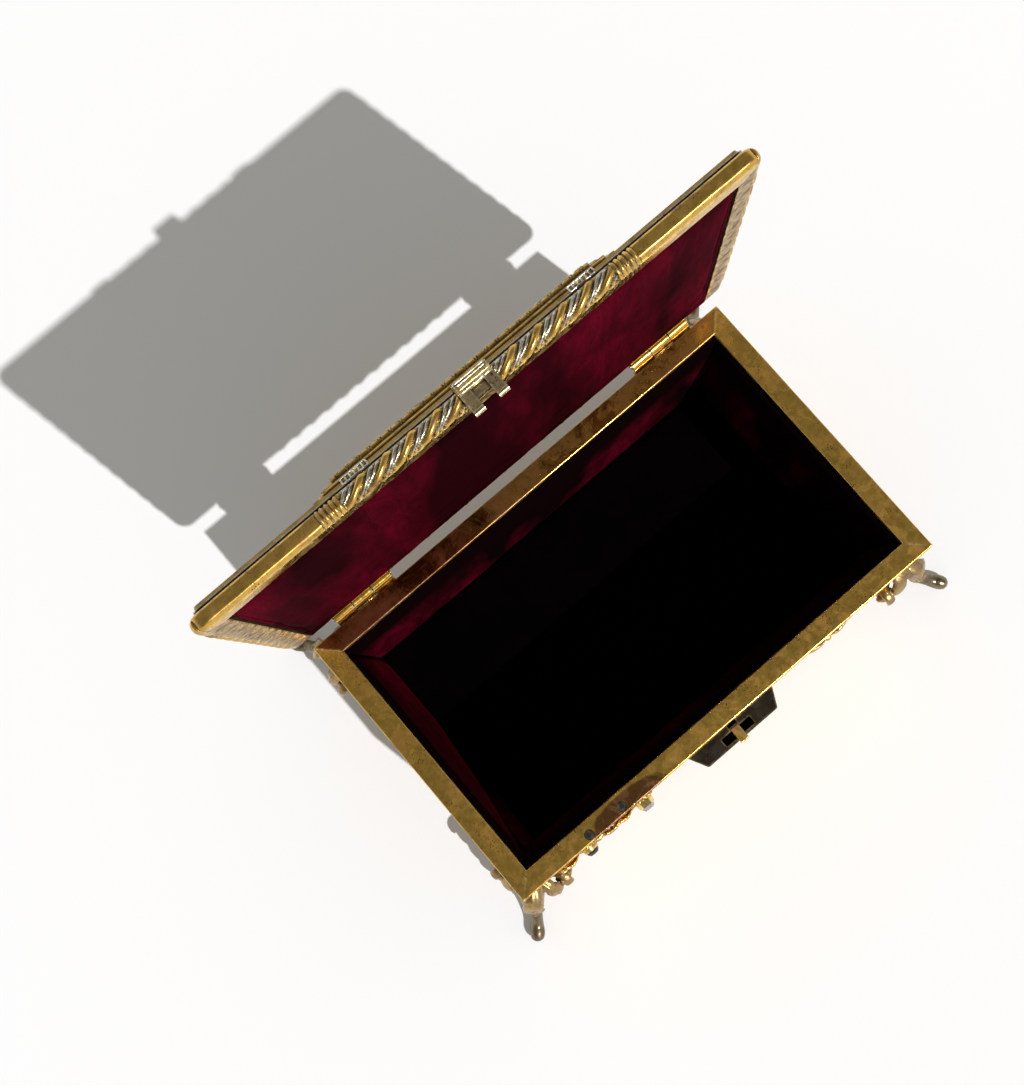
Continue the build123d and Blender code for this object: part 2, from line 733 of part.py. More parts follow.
with BuildPart() as front_mount_right:
    with BuildSketch(front_face):
        with Locations((mount_right_place, ornament_height)):
            SlotOverall(mount_right_length, mount_spine)
        for lean in (-leaf_lean, 0, leaf_lean):
            for toward in (-1, 1):
                leaf_middle = mount_right_place + toward * leaf_length / 2
                pointed_leaf(leaf_middle, toward * lean, leaf_length, leaf_width)
    extrude(amount=mount_thickness)
save(front_mount_right, "front_mount_right")

# Stones and the collars that hold them
def turned(points, place, seat):
    """A collar or stone turned about an axis that stands out from the front face."""
    axis_origin = front_face.from_local_coords((place, ornament_height, 0))
    half_plane = Plane(origin=axis_origin, x_dir=(1, 0, 0), z_dir=(0, 0, 1))
    with BuildSketch(half_plane) as profile:
        with BuildLine():
            Polyline(*[(radius, -(seat + rise)) for radius, rise in points], close=True)
        make_face()
    revolve(profile.sketch, axis=Axis(axis_origin, (0, -1, 0)))


with BuildPart() as jewel_collet:
    turned(
        (
            (0, 0),
            (collet_radius, 0),
            (collet_radius * 0.9, collet_height),
            (cabochon_radius + running_fit, collet_height),
            (cabochon_radius + running_fit, collet_height * 0.35),
            (0, collet_height * 0.35),
        ),
        collet_place,
        mount_thickness,
    )
save(jewel_collet, "jewel_collet")

with BuildPart() as jewel_cabochon:
    turned(
        (
            (0, 0),
            (cabochon_radius, 0),
            (cabochon_radius, collet_height * 0.65),
            (cabochon_radius * 0.7, collet_height * 0.65 + cabochon_radius * 0.5),
            (0, collet_height * 0.65 + cabochon_radius * 0.6),
        ),
        collet_place,
        mount_thickness + collet_height * 0.35,
    )
save(jewel_cabochon, "jewel_cabochon")

with BuildPart() as button_setting:
    turned(
        (
            (0, 0),
            (stone_radius + setting_wall, 0),
            (stone_radius + setting_wall / 2, stone_height * 0.4),
            (stone_radius + running_fit, stone_height * 0.4),
            (stone_radius + running_fit, stone_height * 0.2),
            (0, stone_height * 0.2),
        ),
        button_stone_place,
        mount_thickness,
    )
save(button_setting, "button_setting")

with BuildPart() as button_stone:
    turned(
        (
            (0, 0),
            (stone_radius, 0),
            (stone_radius, stone_height * 0.35),
            (stone_radius * 0.7, stone_height * 0.55),
            (0, stone_height * 0.6),
        ),
        button_stone_place,
        mount_thickness + stone_height * 0.2,
    )
save(button_stone, "button_stone")

# Four cast feet: a cabriole leg out of each corner, a leafy bracket clasping the corner
# with a volute on each face, a turned toe with a flat sole, and a pad screwed to the base
splay = Vector(toe_splay[0], toe_splay[1], 0)
leg_reach = splay.length - toe_radius
toe_height = toe_radius + sole_gap
leg_stations = (
    (knee_head_out, knee_head_height, knee_head_radius),
    (knee_out, knee_height, knee_radius),
    (shin_out, shin_height, shin_radius),
    (ankle_out, ankle_height, ankle_radius),
    (instep_out, instep_height, instep_radius),
    (leg_reach, toe_height, toe_neck_radius),
)


def station_plane(outward, corner, index):
    """The plane square to the leg's centre line at one of its stations."""
    ahead = leg_stations[min(index + 1, len(leg_stations) - 1)]
    behind = leg_stations[max(index - 1, 0)]
    here = leg_stations[index]
    along = outward * (ahead[0] - behind[0]) + Vector(0, 0, ahead[1] - behind[1])
    across = outward.cross(Vector(0, 0, 1))
    return Plane(origin=corner + outward * here[0] + Vector(0, 0, here[1]), x_dir=across, z_dir=along)


feet = (
    ("front_left", -1, -1),
    ("front_right", 1, -1),
    ("rear_left", -1, 1),
    ("rear_right", 1, 1),
)
for name, x_side, y_side in feet:
    corner = Vector(x_side * half_length, y_side * half_width, 0)
    outward = Vector(x_side * splay.X, y_side * splay.Y, 0).normalized()
    toe = corner + outward * leg_reach + Vector(0, 0, toe_height)
    shin = corner + outward * shin_out
    with BuildPart() as foot:
        for index, station in enumerate(leg_stations):
            with BuildSketch(station_plane(outward, corner, index)):
                RegularPolygon(station[2], leg_sides)
        loft(ruled=True)
        for index in (3, 4):
            with BuildSketch(station_plane(outward, corner, index)):
                RegularPolygon(leg_stations[index][2] + ankle_ring, leg_sides)
            extrude(amount=ankle_ring, both=True)
        for rise, taper in ((toe_radius, toe_taper), (-toe_height, sole_taper)):
            with BuildSketch(Plane(origin=toe)):
                RegularPolygon(toe_radius, round_sides)
            extrude(amount=rise, taper=taper)
        with BuildSketch(Plane.XY.offset(foot_height)):
            Polygon(
                (corner.X - x_side * foot_pad_reach, corner.Y),
                (shin.X, shin.Y),
                (corner.X, corner.Y - y_side * foot_pad_reach),
                (corner.X - x_side * foot_pad_reach * 0.75, corner.Y - y_side * foot_pad_reach * 0.75),
                align=None,
            )
        extrude(amount=-foot_pad_thickness)
        with BuildSketch(Plane.XY.offset(foot_height)):
            with Locations((corner.X, corner.Y)):
                RegularPolygon(apron_thickness, round_sides)
        extrude(amount=apron_height)
        wings = (
            (Vector(-x_side, 0, 0), Vector(0, y_side, 0)),
            (Vector(0, -y_side, 0), Vector(x_side, 0, 0)),
        )
        for inward, out in wings:
            face = Plane(origin=corner, x_dir=inward, z_dir=inward.cross(Vector(0, 0, 1)))
            with BuildSketch(face):
                with BuildLine():
                    Line((0, foot_height), (apron_length, foot_height))
                    ThreePointArc(
                        (apron_length, foot_height),
                        (apron_length * 0.45, foot_height + apron_height * 0.3),
                        (apron_length * 0.12, foot_height + apron_height),
                    )
                    Line((apron_length * 0.12, foot_height + apron_height), (0, foot_height + apron_height))
                    Line((0, foot_height + apron_height), (0, foot_height))
                make_face()
            extrude(amount=apron_thickness, dir=out)
            roll = Plane(
                origin=corner + inward * volute_inset,
                x_dir=out,
                z_dir=out.cross(Vector(0, 0, 1)),
            )
            with BuildSketch(roll):
                with Locations((volute_out, foot_height + volute_rise)):
                    RegularPolygon(volute_radius, volute_sides)
            extrude(amount=volute_length / 2, both=True)
        with BuildSketch(Plane.XY.offset(foot_height)):
            Rectangle(body_length + 2 * base_overhang, body_width + 2 * base_overhang)
        extrude(amount=base_step, mode=Mode.SUBTRACT)
        with BuildSketch(Plane.XY.offset(foot_height + base_step)):
            Rectangle(body_length + 2 * upper_overhang, body_width + 2 * upper_overhang)
        extrude(amount=base_step, mode=Mode.SUBTRACT)
        with BuildSketch(Plane.XY.offset(base_top)):
            Rectangle(body_length, body_width)
        extrude(amount=rim_height, mode=Mode.SUBTRACT)
        screw_place = (corner.X - x_side * foot_screw_inset, corner.Y - y_side * foot_screw_inset)
        with BuildSketch(Plane.XY.offset(foot_height)):
            with Locations(screw_place):
                RegularPolygon(foot_screw_radius + running_fit, shank_sides)
        extrude(amount=-foot_pad_thickness, mode=Mode.SUBTRACT)
    save(foot, f"foot_{name}")

# Screws up through the foot pads into the base plate
with BuildPart() as foot_screws:
    for name, x_side, y_side in feet:
        screw_x = x_side * (half_length - foot_screw_inset)
        screw_y = y_side * (half_width - foot_screw_inset)
        with BuildSketch(Plane.XY.offset(foot_height - foot_pad_thickness)):
            with Locations((screw_x, screw_y)):
                RegularPolygon(foot_screw_head, round_sides)
        extrude(amount=-foot_screw_radius)
        with BuildSketch(Plane.XY.offset(foot_height - foot_pad_thickness)):
            with Locations((screw_x, screw_y)):
                RegularPolygon(foot_screw_radius, shank_sides)
        extrude(amount=foot_pad_thickness + base_step)
save(foot_screws, "foot_screws")
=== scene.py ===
import json
import math

import bmesh
import bpy
from mathutils import Euler, Matrix, Vector, noise


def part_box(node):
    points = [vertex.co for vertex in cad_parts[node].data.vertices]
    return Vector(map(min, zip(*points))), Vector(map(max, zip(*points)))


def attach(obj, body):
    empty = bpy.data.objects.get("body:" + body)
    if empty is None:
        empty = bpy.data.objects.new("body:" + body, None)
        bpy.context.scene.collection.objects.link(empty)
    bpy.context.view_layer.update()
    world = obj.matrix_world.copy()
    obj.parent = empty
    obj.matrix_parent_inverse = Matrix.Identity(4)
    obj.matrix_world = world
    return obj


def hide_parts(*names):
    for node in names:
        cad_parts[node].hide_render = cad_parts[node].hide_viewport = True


# The open casket, dressed for its picture: worn gilt brass, crimson velvet and paste stones.
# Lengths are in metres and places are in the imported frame.
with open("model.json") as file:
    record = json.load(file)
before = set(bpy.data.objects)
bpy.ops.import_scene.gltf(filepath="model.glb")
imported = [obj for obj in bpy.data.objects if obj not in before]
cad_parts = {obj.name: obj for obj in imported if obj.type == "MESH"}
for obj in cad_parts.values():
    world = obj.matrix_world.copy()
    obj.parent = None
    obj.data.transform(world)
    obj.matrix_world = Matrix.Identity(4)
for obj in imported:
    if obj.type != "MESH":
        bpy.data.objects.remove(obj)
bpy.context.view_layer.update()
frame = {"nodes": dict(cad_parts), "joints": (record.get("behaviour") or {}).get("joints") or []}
nodes = frame["nodes"]
mm = 0.001


# Shader trees

def fill(tree, node, sockets):
    """Gives a node's sockets plain values or other nodes' outputs."""
    for name, value in sockets.items():
        if isinstance(value, bpy.types.NodeSocket):
            tree.links.new(value, node.inputs[name])
        else:
            node.inputs[name].default_value = value


def add(tree, kind, sockets=None, **settings):
    """A new shader node."""
    node = tree.nodes.new("ShaderNode" + kind)
    for name, value in settings.items():
        setattr(node, name, value)
    fill(tree, node, sockets or {})
    return node


def spread(tree, value, low, high, to_low=0.0, to_high=1.0):
    """Stretches the part of a value from low to high over a new range."""
    node = add(tree, "MapRange", {
        "Value": value, "From Min": low, "From Max": high, "To Min": to_low, "To Max": to_high,
    })
    return node.outputs["Result"]


def maths(tree, operation, first, second=0.0):
    node = add(tree, "Math", {0: first, 1: second}, operation=operation)
    return node.outputs[0]


def times(tree, first, second):
    return maths(tree, "MULTIPLY", first, second)


def mix(tree, share, first, second):
    node = add(tree, "Mix", {0: share, 6: first, 7: second}, data_type="RGBA")
    return node.outputs[2]


def cloud(tree, place, scale, detail=4.0, roughness=0.6, distortion=0.0):
    node = add(tree, "TexNoise", {
        "Vector": place, "Scale": scale, "Detail": detail, "Roughness": roughness, "Distortion": distortion,
    })
    return node.outputs["Fac"]


def shade(colour, share=1.0):
    """A colour for a socket, made darker by a share."""
    return [share * part for part in colour] + [1]


def coordinates(tree):
    return add(tree, "TexCoord").outputs["Object"]


def effect(name, settings, results):
    """An empty node group with named numbers in, and colours, masks and heights out."""
    tree = bpy.data.node_groups.new(name, "ShaderNodeTree")
    for label, value in settings.items():
        socket = tree.interface.new_socket(label, in_out="INPUT", socket_type="NodeSocketFloat")
        socket.default_value = value
    for label in results:
        tree.interface.new_socket(label, in_out="OUTPUT", socket_type="NodeSocketFloat")
    return tree, tree.nodes.new("NodeGroupInput").outputs, tree.nodes.new("NodeGroupOutput")


def placed(tree, effect_tree, **settings):
    """An effect put in a material with its own values."""
    node = tree.nodes.new("ShaderNodeGroup")
    node.node_tree = effect_tree
    for name, value in settings.items():
        node.inputs[name.replace("_", " ").capitalize()].default_value = value
    return node.outputs


def make_wear_and_shade():
    """Rubbed edges, and painted shade in the corners."""
    tree, given, result = effect("rubbed_edges_and_shade", {"Reach": 0.0006}, ["Rubbed", "Painted_shade"])
    place = coordinates(tree)
    broken = cloud(tree, place, 700.0, 5.0)
    edge = add(tree, "AmbientOcclusion", {"Distance": given["Reach"]}, inside=True, only_local=True, samples=6)
    edge_share = spread(tree, edge.outputs["AO"], 0.92, 0.55)
    rubbed = times(tree, edge_share, spread(tree, broken, 0.32, 0.6))
    deep = times(tree, given["Reach"], 2.5)
    # Painted shade: darker where nearby faces hem the surface in, broken up by noise.
    corner = add(tree, "AmbientOcclusion", {"Distance": deep}, only_local=True, samples=6)
    corner_share = spread(tree, corner.outputs["AO"], 0.85, 0.45)
    painted_shade = times(tree, corner_share, spread(tree, broken, 0.25, 0.5))
    fill(tree, result, {"Rubbed": rubbed, "Painted_shade": painted_shade})
    return tree


def make_tarnish():
    """Clouded patches, small pits and fine rubbing marks in old plated brass."""
    settings = {"Patches": 90.0, "Cover": 0.4}
    tree, given, result = effect("tarnish", settings, ["Patch", "Pit", "Tone", "Surface"])
    place = coordinates(tree)
    clouds = cloud(tree, place, given["Patches"], 7.0, 0.68, 0.6)
    low = maths(tree, "SUBTRACT", 0.72, times(tree, given["Cover"], 0.4))
    patch = spread(tree, maths(tree, "SUBTRACT", clouds, low), -0.07, 0.09)
    dots = add(tree, "TexVoronoi", {"Vector": place, "Scale": 1300.0, "Randomness": 1.0}).outputs["Distance"]
    where = spread(tree, cloud(tree, place, 160.0, 3.0), 0.5, 0.64)
    pit = times(tree, spread(tree, dots, 0.34, 0.16), where)
    tone = cloud(tree, place, 420.0, 6.0, 0.72)
    rubbed_along = add(tree, "Mapping", {"Vector": place, "Scale": (1.0, 9.0, 9.0)}).outputs["Vector"]
    marks = cloud(tree, rubbed_along, 260.0, 5.0, 0.7)
    height = maths(tree, "ADD", times(tree, tone, 0.5), times(tree, marks, 0.35))
    height = maths(tree, "SUBTRACT", height, times(tree, pit, 0.6))
    fill(tree, result, {"Patch": patch, "Pit": pit, "Tone": tone, "Surface": height})
    return tree


def make_pile():
    """Pile brushed up and down: how far it leans, where it is pressed dark, its grain and its height."""
    tree, given, result = effect("pile", {"Crush": 150.0, "Tuft": 1500.0}, ["Lean", "Deep", "Grain", "Surface"])
    place = coordinates(tree)
    drawn = add(tree, "Mapping", {"Vector": place, "Scale": (1.0, 1.0, 0.24)}).outputs["Vector"]
    lean = cloud(tree, drawn, given["Crush"], 7.0, 0.66, 0.5)
    folds = cloud(tree, drawn, times(tree, given["Crush"], 0.24), 3.0, 0.5, 0.3)
    tufts = cloud(tree, drawn, given["Tuft"], 3.0, 0.8)
    fill(tree, result, {
        "Lean": spread(tree, lean, 0.4, 0.66), "Deep": spread(tree, folds, 0.4, 0.58),
        "Grain": spread(tree, tufts, 0.3, 0.7), "Surface": maths(tree, "ADD", times(tree, tufts, 0.3), lean),
    })
    return tree


def make_spill():
    """A patch with a ragged edge, lying round one place."""
    settings = {
        "Middle x": 0.0, "Middle y": 0.0, "Half length": 0.01, "Half width": 0.002, "Ragged": 0.9, "Fade": 0.4,
    }
    tree, given, result = effect("spill", settings, ["Cover"])
    place = coordinates(tree)
    spot = add(tree, "SeparateXYZ", {"Vector": place}).outputs
    along = maths(tree, "DIVIDE", maths(tree, "SUBTRACT", spot["X"], given["Middle x"]), given["Half length"])
    across = maths(tree, "DIVIDE", maths(tree, "SUBTRACT", spot["Y"], given["Middle y"]), given["Half width"])
    reach = maths(tree, "SQRT", maths(tree, "ADD", times(tree, along, along), times(tree, across, across)))
    uneven = maths(tree, "SUBTRACT", cloud(tree, place, 240.0, 5.0), 0.5)
    ragged = maths(tree, "ADD", reach, times(tree, uneven, given["Ragged"]))
    outer = 1.15
    inner = maths(tree, "SUBTRACT", outer, given["Fade"])
    fill(tree, result, {"Cover": spread(tree, ragged, outer, inner)})
    return tree


rubbed_edges_and_shade = make_wear_and_shade()
tarnish = make_tarnish()
pile = make_pile()
spill = make_spill()


def new_material(name):
    """A material with its Principled shader, ready for colour, roughness and height."""
    material = bpy.data.materials.new(name)
    material.use_nodes = True
    tree = material.node_tree
    return material, tree, tree.nodes["Principled BSDF"]


def bump(tree, height, depth):
    return add(tree, "Bump", {"Height": height, "Distance": depth, "Strength": 1.0}).outputs["Normal"]


def worn_metal(name, bright, body, stain, roughness, cover, patches, dent=0.05 * mm, spilt=None):
    """Plated brass: bright where it is rubbed, stained in patches, and painted darker in the corners as shade."""
    material, tree, shader = new_material(name)
    old = placed(tree, tarnish, patches=patches, cover=cover)
    rub = placed(tree, rubbed_edges_and_shade)
    tone = spread(tree, old["Tone"], 0.3, 0.7)
    colour = mix(tree, tone, shade(body, 0.72), shade(body))
    colour = mix(tree, times(tree, old["Patch"], 0.85), colour, shade(stain))
    if spilt:
        patch, tint = spilt
        patina = placed(tree, spill, **patch)
        colour = mix(tree, times(tree, patina["Cover"], 0.92), colour, shade(tint))
    colour = mix(tree, times(tree, rub["Rubbed"], 0.85), colour, shade(bright))
    dark = shade(stain, 0.22)
    colour = mix(tree, old["Pit"], colour, dark)
    # Painted shade: the colour is darkened in the corners.
    colour = mix(tree, times(tree, rub["Painted_shade"], 0.75), colour, dark)
    dull = maths(tree, "ADD", times(tree, old["Patch"], 0.2), times(tree, tone, 0.12))
    polished = maths(tree, "SUBTRACT", dull, times(tree, rub["Rubbed"], 0.1))
    fill(tree, shader, {
        "Base Color": colour,
        "Roughness": maths(tree, "ADD", polished, roughness - 0.06),
        "Metallic": maths(tree, "SUBTRACT", 1.0, times(tree, old["Patch"], 0.35)),
        "Normal": bump(tree, old["Surface"], dent),
    })
    return material


def crimson_velvet(name, lit, dark, sheen, lit_heights=None):
    """Silk velvet: crimson along the pile, crushed and pressed dark in patches; its lit colour is a painted sheen,
    and where heights are given it is painted lit only between them.
    """
    material, tree, shader = new_material(name)
    nap = placed(tree, pile)
    colour = mix(tree, nap["Lean"], shade(lit, 0.35), shade(lit))
    colour = mix(tree, nap["Deep"], colour, shade(dark))
    # Painted light: between the given heights the lit colour shows, and above and below them the velvet is painted
    # dark as shade.
    if lit_heights:
        height = add(tree, "SeparateXYZ", {"Vector": coordinates(tree)}).outputs["Z"]
        low, high = lit_heights
        from_floor = spread(tree, height, low, low + velvet_fade)
        from_rim = spread(tree, height, high, high - velvet_fade)
        colour = mix(tree, times(tree, from_floor, from_rim), shade(dark), colour)
    colour = mix(tree, times(tree, nap["Grain"], 0.45), colour, shade(dark))
    fill(tree, shader, {
        "Base Color": colour, "Roughness": 0.95, "Specular IOR Level": 0.02,
        "Sheen Weight": sheen, "Sheen Roughness": 0.3, "Sheen Tint": shade(silk_shine),
        "Normal": bump(tree, nap["Surface"], 0.25 * mm),
    })
    return material


def stone(name, colour, roughness, see_through):
    """A pasted stone with a worn surface."""
    material, tree, shader = new_material(name)
    old = placed(tree, tarnish, patches=400.0, cover=0.5)
    fill(tree, shader, {
        "Base Color": mix(tree, old["Patch"], shade(colour), shade(colour, 0.7)),
        "Roughness": spread(tree, old["Tone"], 0.3, 0.8, roughness, roughness + 0.15),
        "Transmission Weight": see_through, "IOR": 1.55, "Normal": bump(tree, old["Surface"], 0.01 * mm),
    })
    return material


velvet_fade = 14.0 * mm
silk_shine = (0.55, 0.005, 0.032)
gilt_light = (1.0, 0.76, 0.32)
rim_body, rim_stain = (0.72, 0.43, 0.09), (0.26, 0.125, 0.025)
front_tongue = {
    "middle_x": -37.8 * mm, "middle_y": -46.4 * mm, "half_length": 12.2 * mm, "half_width": 4.4 * mm,
    "ragged": 0.4, "fade": 0.14,
}
# Painted reflection: the back rim's left half is darkened red, standing for the red velvet lid reflected in it.
back_painted_reflection = {
    "middle_x": -52.0 * mm, "middle_y": 44.0 * mm, "half_length": 40.0 * mm, "half_width": 9.0 * mm,
    "ragged": 0.9, "fade": 0.4,
}

# Each metal: rubbed, plain and stained colour, roughness, share stained, patches in a metre,
# depth of its surface, and a patch of patina with its colour, which on the back rim is a painted reflection.
metals = {
    "satin_gilt": (gilt_light, (0.62, 0.36, 0.075), (0.43, 0.235, 0.05), 0.3, 0.36, 110.0),
    "rim_gilt": (gilt_light, rim_body, rim_stain, 0.22, 0.42, 150.0, 0.04 * mm),
    "front_rim_gilt": (
        gilt_light, rim_body, rim_stain, 0.22, 0.42, 150.0, 0.04 * mm, (front_tongue, (0.20, 0.083, 0.033)),
    ),
    # Painted reflection: the back rim's body is darker and redder, standing for the velvet lid reflected in it.
    "lacquered_gilt": (
        gilt_light, (0.46, 0.24, 0.05), (0.16, 0.06, 0.014), 0.2, 0.5, 70.0, 0.025 * mm,
        (back_painted_reflection, (0.13, 0.03, 0.01)),
    ),
    "cast_gilt": (gilt_light, (0.72, 0.43, 0.10), (0.16, 0.085, 0.025), 0.27, 0.42, 190.0),
    "foot_gilt": ((0.95, 0.74, 0.4), (0.45, 0.29, 0.115), (0.16, 0.10, 0.05), 0.3, 0.5, 200.0),
    "bright_gilt": ((1.0, 0.82, 0.4), (0.90, 0.55, 0.10), (0.25, 0.10, 0.02), 0.16, 0.2, 200.0, 0.02 * mm),
    "aged_brass": ((0.9, 0.66, 0.3), (0.48, 0.31, 0.10), (0.27, 0.165, 0.055), 0.34, 0.45, 200.0),
    "pale_relief": ((0.95, 0.8, 0.5), (0.60, 0.44, 0.22), (0.15, 0.10, 0.045), 0.36, 0.4, 320.0),
    "silvered": ((0.9, 0.86, 0.75), (0.46, 0.42, 0.34), (0.14, 0.11, 0.07), 0.24, 0.4, 420.0, 0.03 * mm),
    "worn_silver": ((0.95, 0.82, 0.55), (0.52, 0.40, 0.22), (0.22, 0.14, 0.06), 0.26, 0.45, 300.0, 0.04 * mm),
    "dark_field": ((0.8, 0.58, 0.25), (0.20, 0.125, 0.04), (0.03, 0.02, 0.012), 0.4, 0.5, 300.0),
    "pale_rim": ((0.75, 0.55, 0.28), (0.34, 0.22, 0.09), (0.12, 0.07, 0.03), 0.42, 0.5, 260.0),
    "side_lip": ((0.8, 0.62, 0.36), (0.44, 0.30, 0.15), (0.13, 0.075, 0.04), 0.36, 0.6, 300.0),
    "dark_patina": ((0.55, 0.38, 0.15), (0.05, 0.036, 0.024), (0.018, 0.014, 0.011), 0.36, 0.4, 200.0),
    "blackened": ((0.16, 0.14, 0.1), (0.06, 0.05, 0.035), (0.02, 0.018, 0.015), 0.34, 0.4, 300.0),
    "toe_grey": ((0.75, 0.68, 0.52), (0.27, 0.21, 0.13), (0.09, 0.065, 0.035), 0.26, 0.5, 220.0, 0.04 * mm),
    "steel": ((0.6, 0.58, 0.55), (0.32, 0.30, 0.28), (0.10, 0.07, 0.05), 0.35, 0.35, 250.0),
}
# Each velvet: painted lit colour, pressed colour that also serves as painted shade, sheen, and the heights between
# which it is painted lit.
# One crimson velvet in three copies: the lid's is painted bright as the sheen it shows edge-on, the lining's is
# painted lit in a band, the floor's is painted near black as shade.
velvets = {
    "lid_velvet": ((0.105, 0.0008, 0.010), (0.007, 0.0, 0.001), 0.11),
    "lining_velvet": ((0.15, 0.0008, 0.016), (0.0025, 0.0004, 0.0006), 0.03, (14 * mm, 68 * mm)),
    "floor_velvet": ((0.0022, 0.0002, 0.0005), (0.0006, 0.0002, 0.0002), 0.02),
}
# Each stone: colour, roughness and how much light goes through.
stones = {
    "paste_stone": ((0.86, 0.86, 0.8), 0.08, 0.6),
    "dark_stone": ((0.03, 0.025, 0.03), 0.1, 0.0),
}
finish = {}
for made, looks in ((worn_metal, metals), (crimson_velvet, velvets), (stone, stones)):
    finish.update({name: made(name, *look) for name, look in looks.items()})

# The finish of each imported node, by the longest start of its name that is listed.
cad_finish = {
    "rim_gilt": "rim_",
    "front_rim_gilt": "rim_front",
    "lacquered_gilt": "rim_back",
    "satin_gilt": "wall_ base_plate",
    "cast_gilt": "moulding_ front_mount_ button_setting lock_button",
    "foot_gilt": "foot_",
    "bright_gilt": "jewel_collet hinge_leaf_ hinge_rivets",
    "worn_silver": "hasp",
    "steel": "foot_screws latch_",
    "blackened": "rim_screws",
    "dark_patina": "hinge_pin_ lock_case",
    "dark_field": "lid_panel",
    "aged_brass": "lid_plaque",
    "pale_rim": "lid_tray",
    "paste_stone": "jewel_cabochon",
    "dark_stone": "button_stone",
    "lid_velvet": "lid_lining",
    "lining_velvet": "lining_",
    "floor_velvet": "lining_floor",
}
finish_of = {start: look for look, starts in cad_finish.items() for start in starts.split()}
for name, piece in nodes.items():
    start = max((start for start in finish_of if name.startswith(start)), key=len)
    piece.data.materials.clear()
    piece.data.materials.append(finish[finish_of[start]])


# Castings

def smooth_run(points, steps):
    """Points on a smooth curve through the given ones, with so many steps between each two."""
    ends = [2 * points[0] - points[1], *points, 2 * points[-1] - points[-2]]
    run = []
    for before, first, second, after in zip(ends, ends[1:], ends[2:], ends[3:]):
        for step in range(steps):
            t = step / steps
            run.append(0.5 * (
                2 * first + (second - before) * t
                + (2 * before - 5 * first + 4 * second - after) * t * t
                + (3 * first - before - 3 * second + after) * t ** 3
            ))
    return [*run, points[-1].copy()]


def new_object(name, data):
    made = bpy.data.objects.new(name, data)
    bpy.context.scene.collection.objects.link(made)
    return made


def evaluated(piece, kind, **settings):
    """Gives the piece the mesh that one modifier makes of it."""
    modifier = piece.modifiers.new(kind.lower(), kind)
    for name, value in settings.items():
        setattr(modifier, name, value)
    result = bpy.data.meshes.new_from_object(piece.evaluated_get(bpy.context.evaluated_depsgraph_get()))
    piece.modifiers.clear()
    old, piece.data = piece.data, result
    bpy.data.meshes.remove(old)


def along_run(run, i):
    """The way a run of points goes at one of them."""
    return (run[min(i + 1, len(run) - 1)] - run[max(i - 1, 0)]).normalized()


def thick_line(places, thickness):
    """Stations for a rod of one thickness."""
    return [(place, thickness) for place in places]


def add_skin(casting, rows):
    """A closed skin round rows of points, with an end on the first and the last."""
    rings = [[casting.verts.new(place) for place in row] for row in rows]
    count = len(rings[0])
    for ring, following in zip(rings, rings[1:]):
        for i in range(count):
            j = (i + 1) % count
            casting.faces.new((ring[i], ring[j], following[j], following[i]))
    casting.faces.new(rings[0])
    casting.faces.new(rings[-1])


def add_rod(casting, stations, round_count=20, flutes=0, flute_depth=0.0):
    """A rod through (place, radius) stations, fluted if asked."""
    path = smooth_run([place for place, radius in stations], 6)
    radii = smooth_run([Vector((radius, 0, 0)) for place, radius in stations], 6)
    rows = []
    for i, place in enumerate(path):
        ahead = along_run(path, i)
        side = ahead.orthogonal().normalized() if i == 0 else (side - side.dot(ahead) * ahead).normalized()
        other = ahead.cross(side)
        row = []
        for k in range(round_count):
            turn = 2 * math.pi * k / round_count
            radius = radii[i].x * (1 + flute_depth * math.cos(flutes * turn))
            row.append(place + (side * math.cos(turn) + other * math.sin(turn)) * radius)
        rows.append(row)
    add_skin(casting, rows)


def add_leaf(casting, spine, across, width, thick, lobes):
    """A lobed and veined leaf along a spine; across is the direction of its width."""
    run = smooth_run(spine, 9)
    rows = []
    for i, place in enumerate(run):
        share = i / (len(run) - 1)
        ahead = along_run(run, i)
        side = (across - across.dot(ahead) * ahead).normalized()
        face = side.cross(ahead)
        lobe = 0.7 + 0.3 * abs(math.sin(math.pi * lobes * share)) ** 0.6
        reach = width / 2 * max(0.08, math.sin(math.pi * (0.1 + 0.88 * share)) ** 0.7) * lobe
        body = thick * (0.45 + 0.55 * math.sin(math.pi * (0.08 + 0.86 * share)))
        row = []
        for k in range(20):
            turn = 2 * math.pi * k / 20
            out, up = math.cos(turn), math.sin(turn)
            vein = 0.62 + 0.38 * abs(math.cos(2.5 * math.pi * out / 2)) if up > 0 else 0.4
            row.append(place + side * out * reach + face * up * body * vein)
        rows.append(row)
    add_skin(casting, rows)


def add_scroll(casting, centre, out, up, radius, turns, width, thick):
    """A rolled end: a strip wound in from its outer turn to a raised eye."""
    along = out.cross(up)
    rows = []
    steps = int(26 * turns)
    for step in range(steps + 1):
        share = step / steps
        turn = 2 * math.pi * turns * share
        r = radius * (1 - 0.78 * share) - thick / 2
        face = out * math.cos(turn) + up * math.sin(turn)
        place = centre + face * r
        half = width / 2 * (0.8 + 0.35 * share)
        row = []
        for k in range(10):
            angle = 2 * math.pi * k / 10
            row.append(place + along * math.cos(angle) * half + face * math.sin(angle) * thick * 0.5)
        rows.append(row)
    add_skin(casting, rows)
    eye = radius * 0.26
    for end in (-1, 1):
        add_ball(casting, centre + along * end * width * 0.52, eye)


def add_ball(casting, centre, radius):
    made = bmesh.ops.create_icosphere(casting, subdivisions=2, radius=radius)
    for vertex in made["verts"]:
        vertex.co += centre


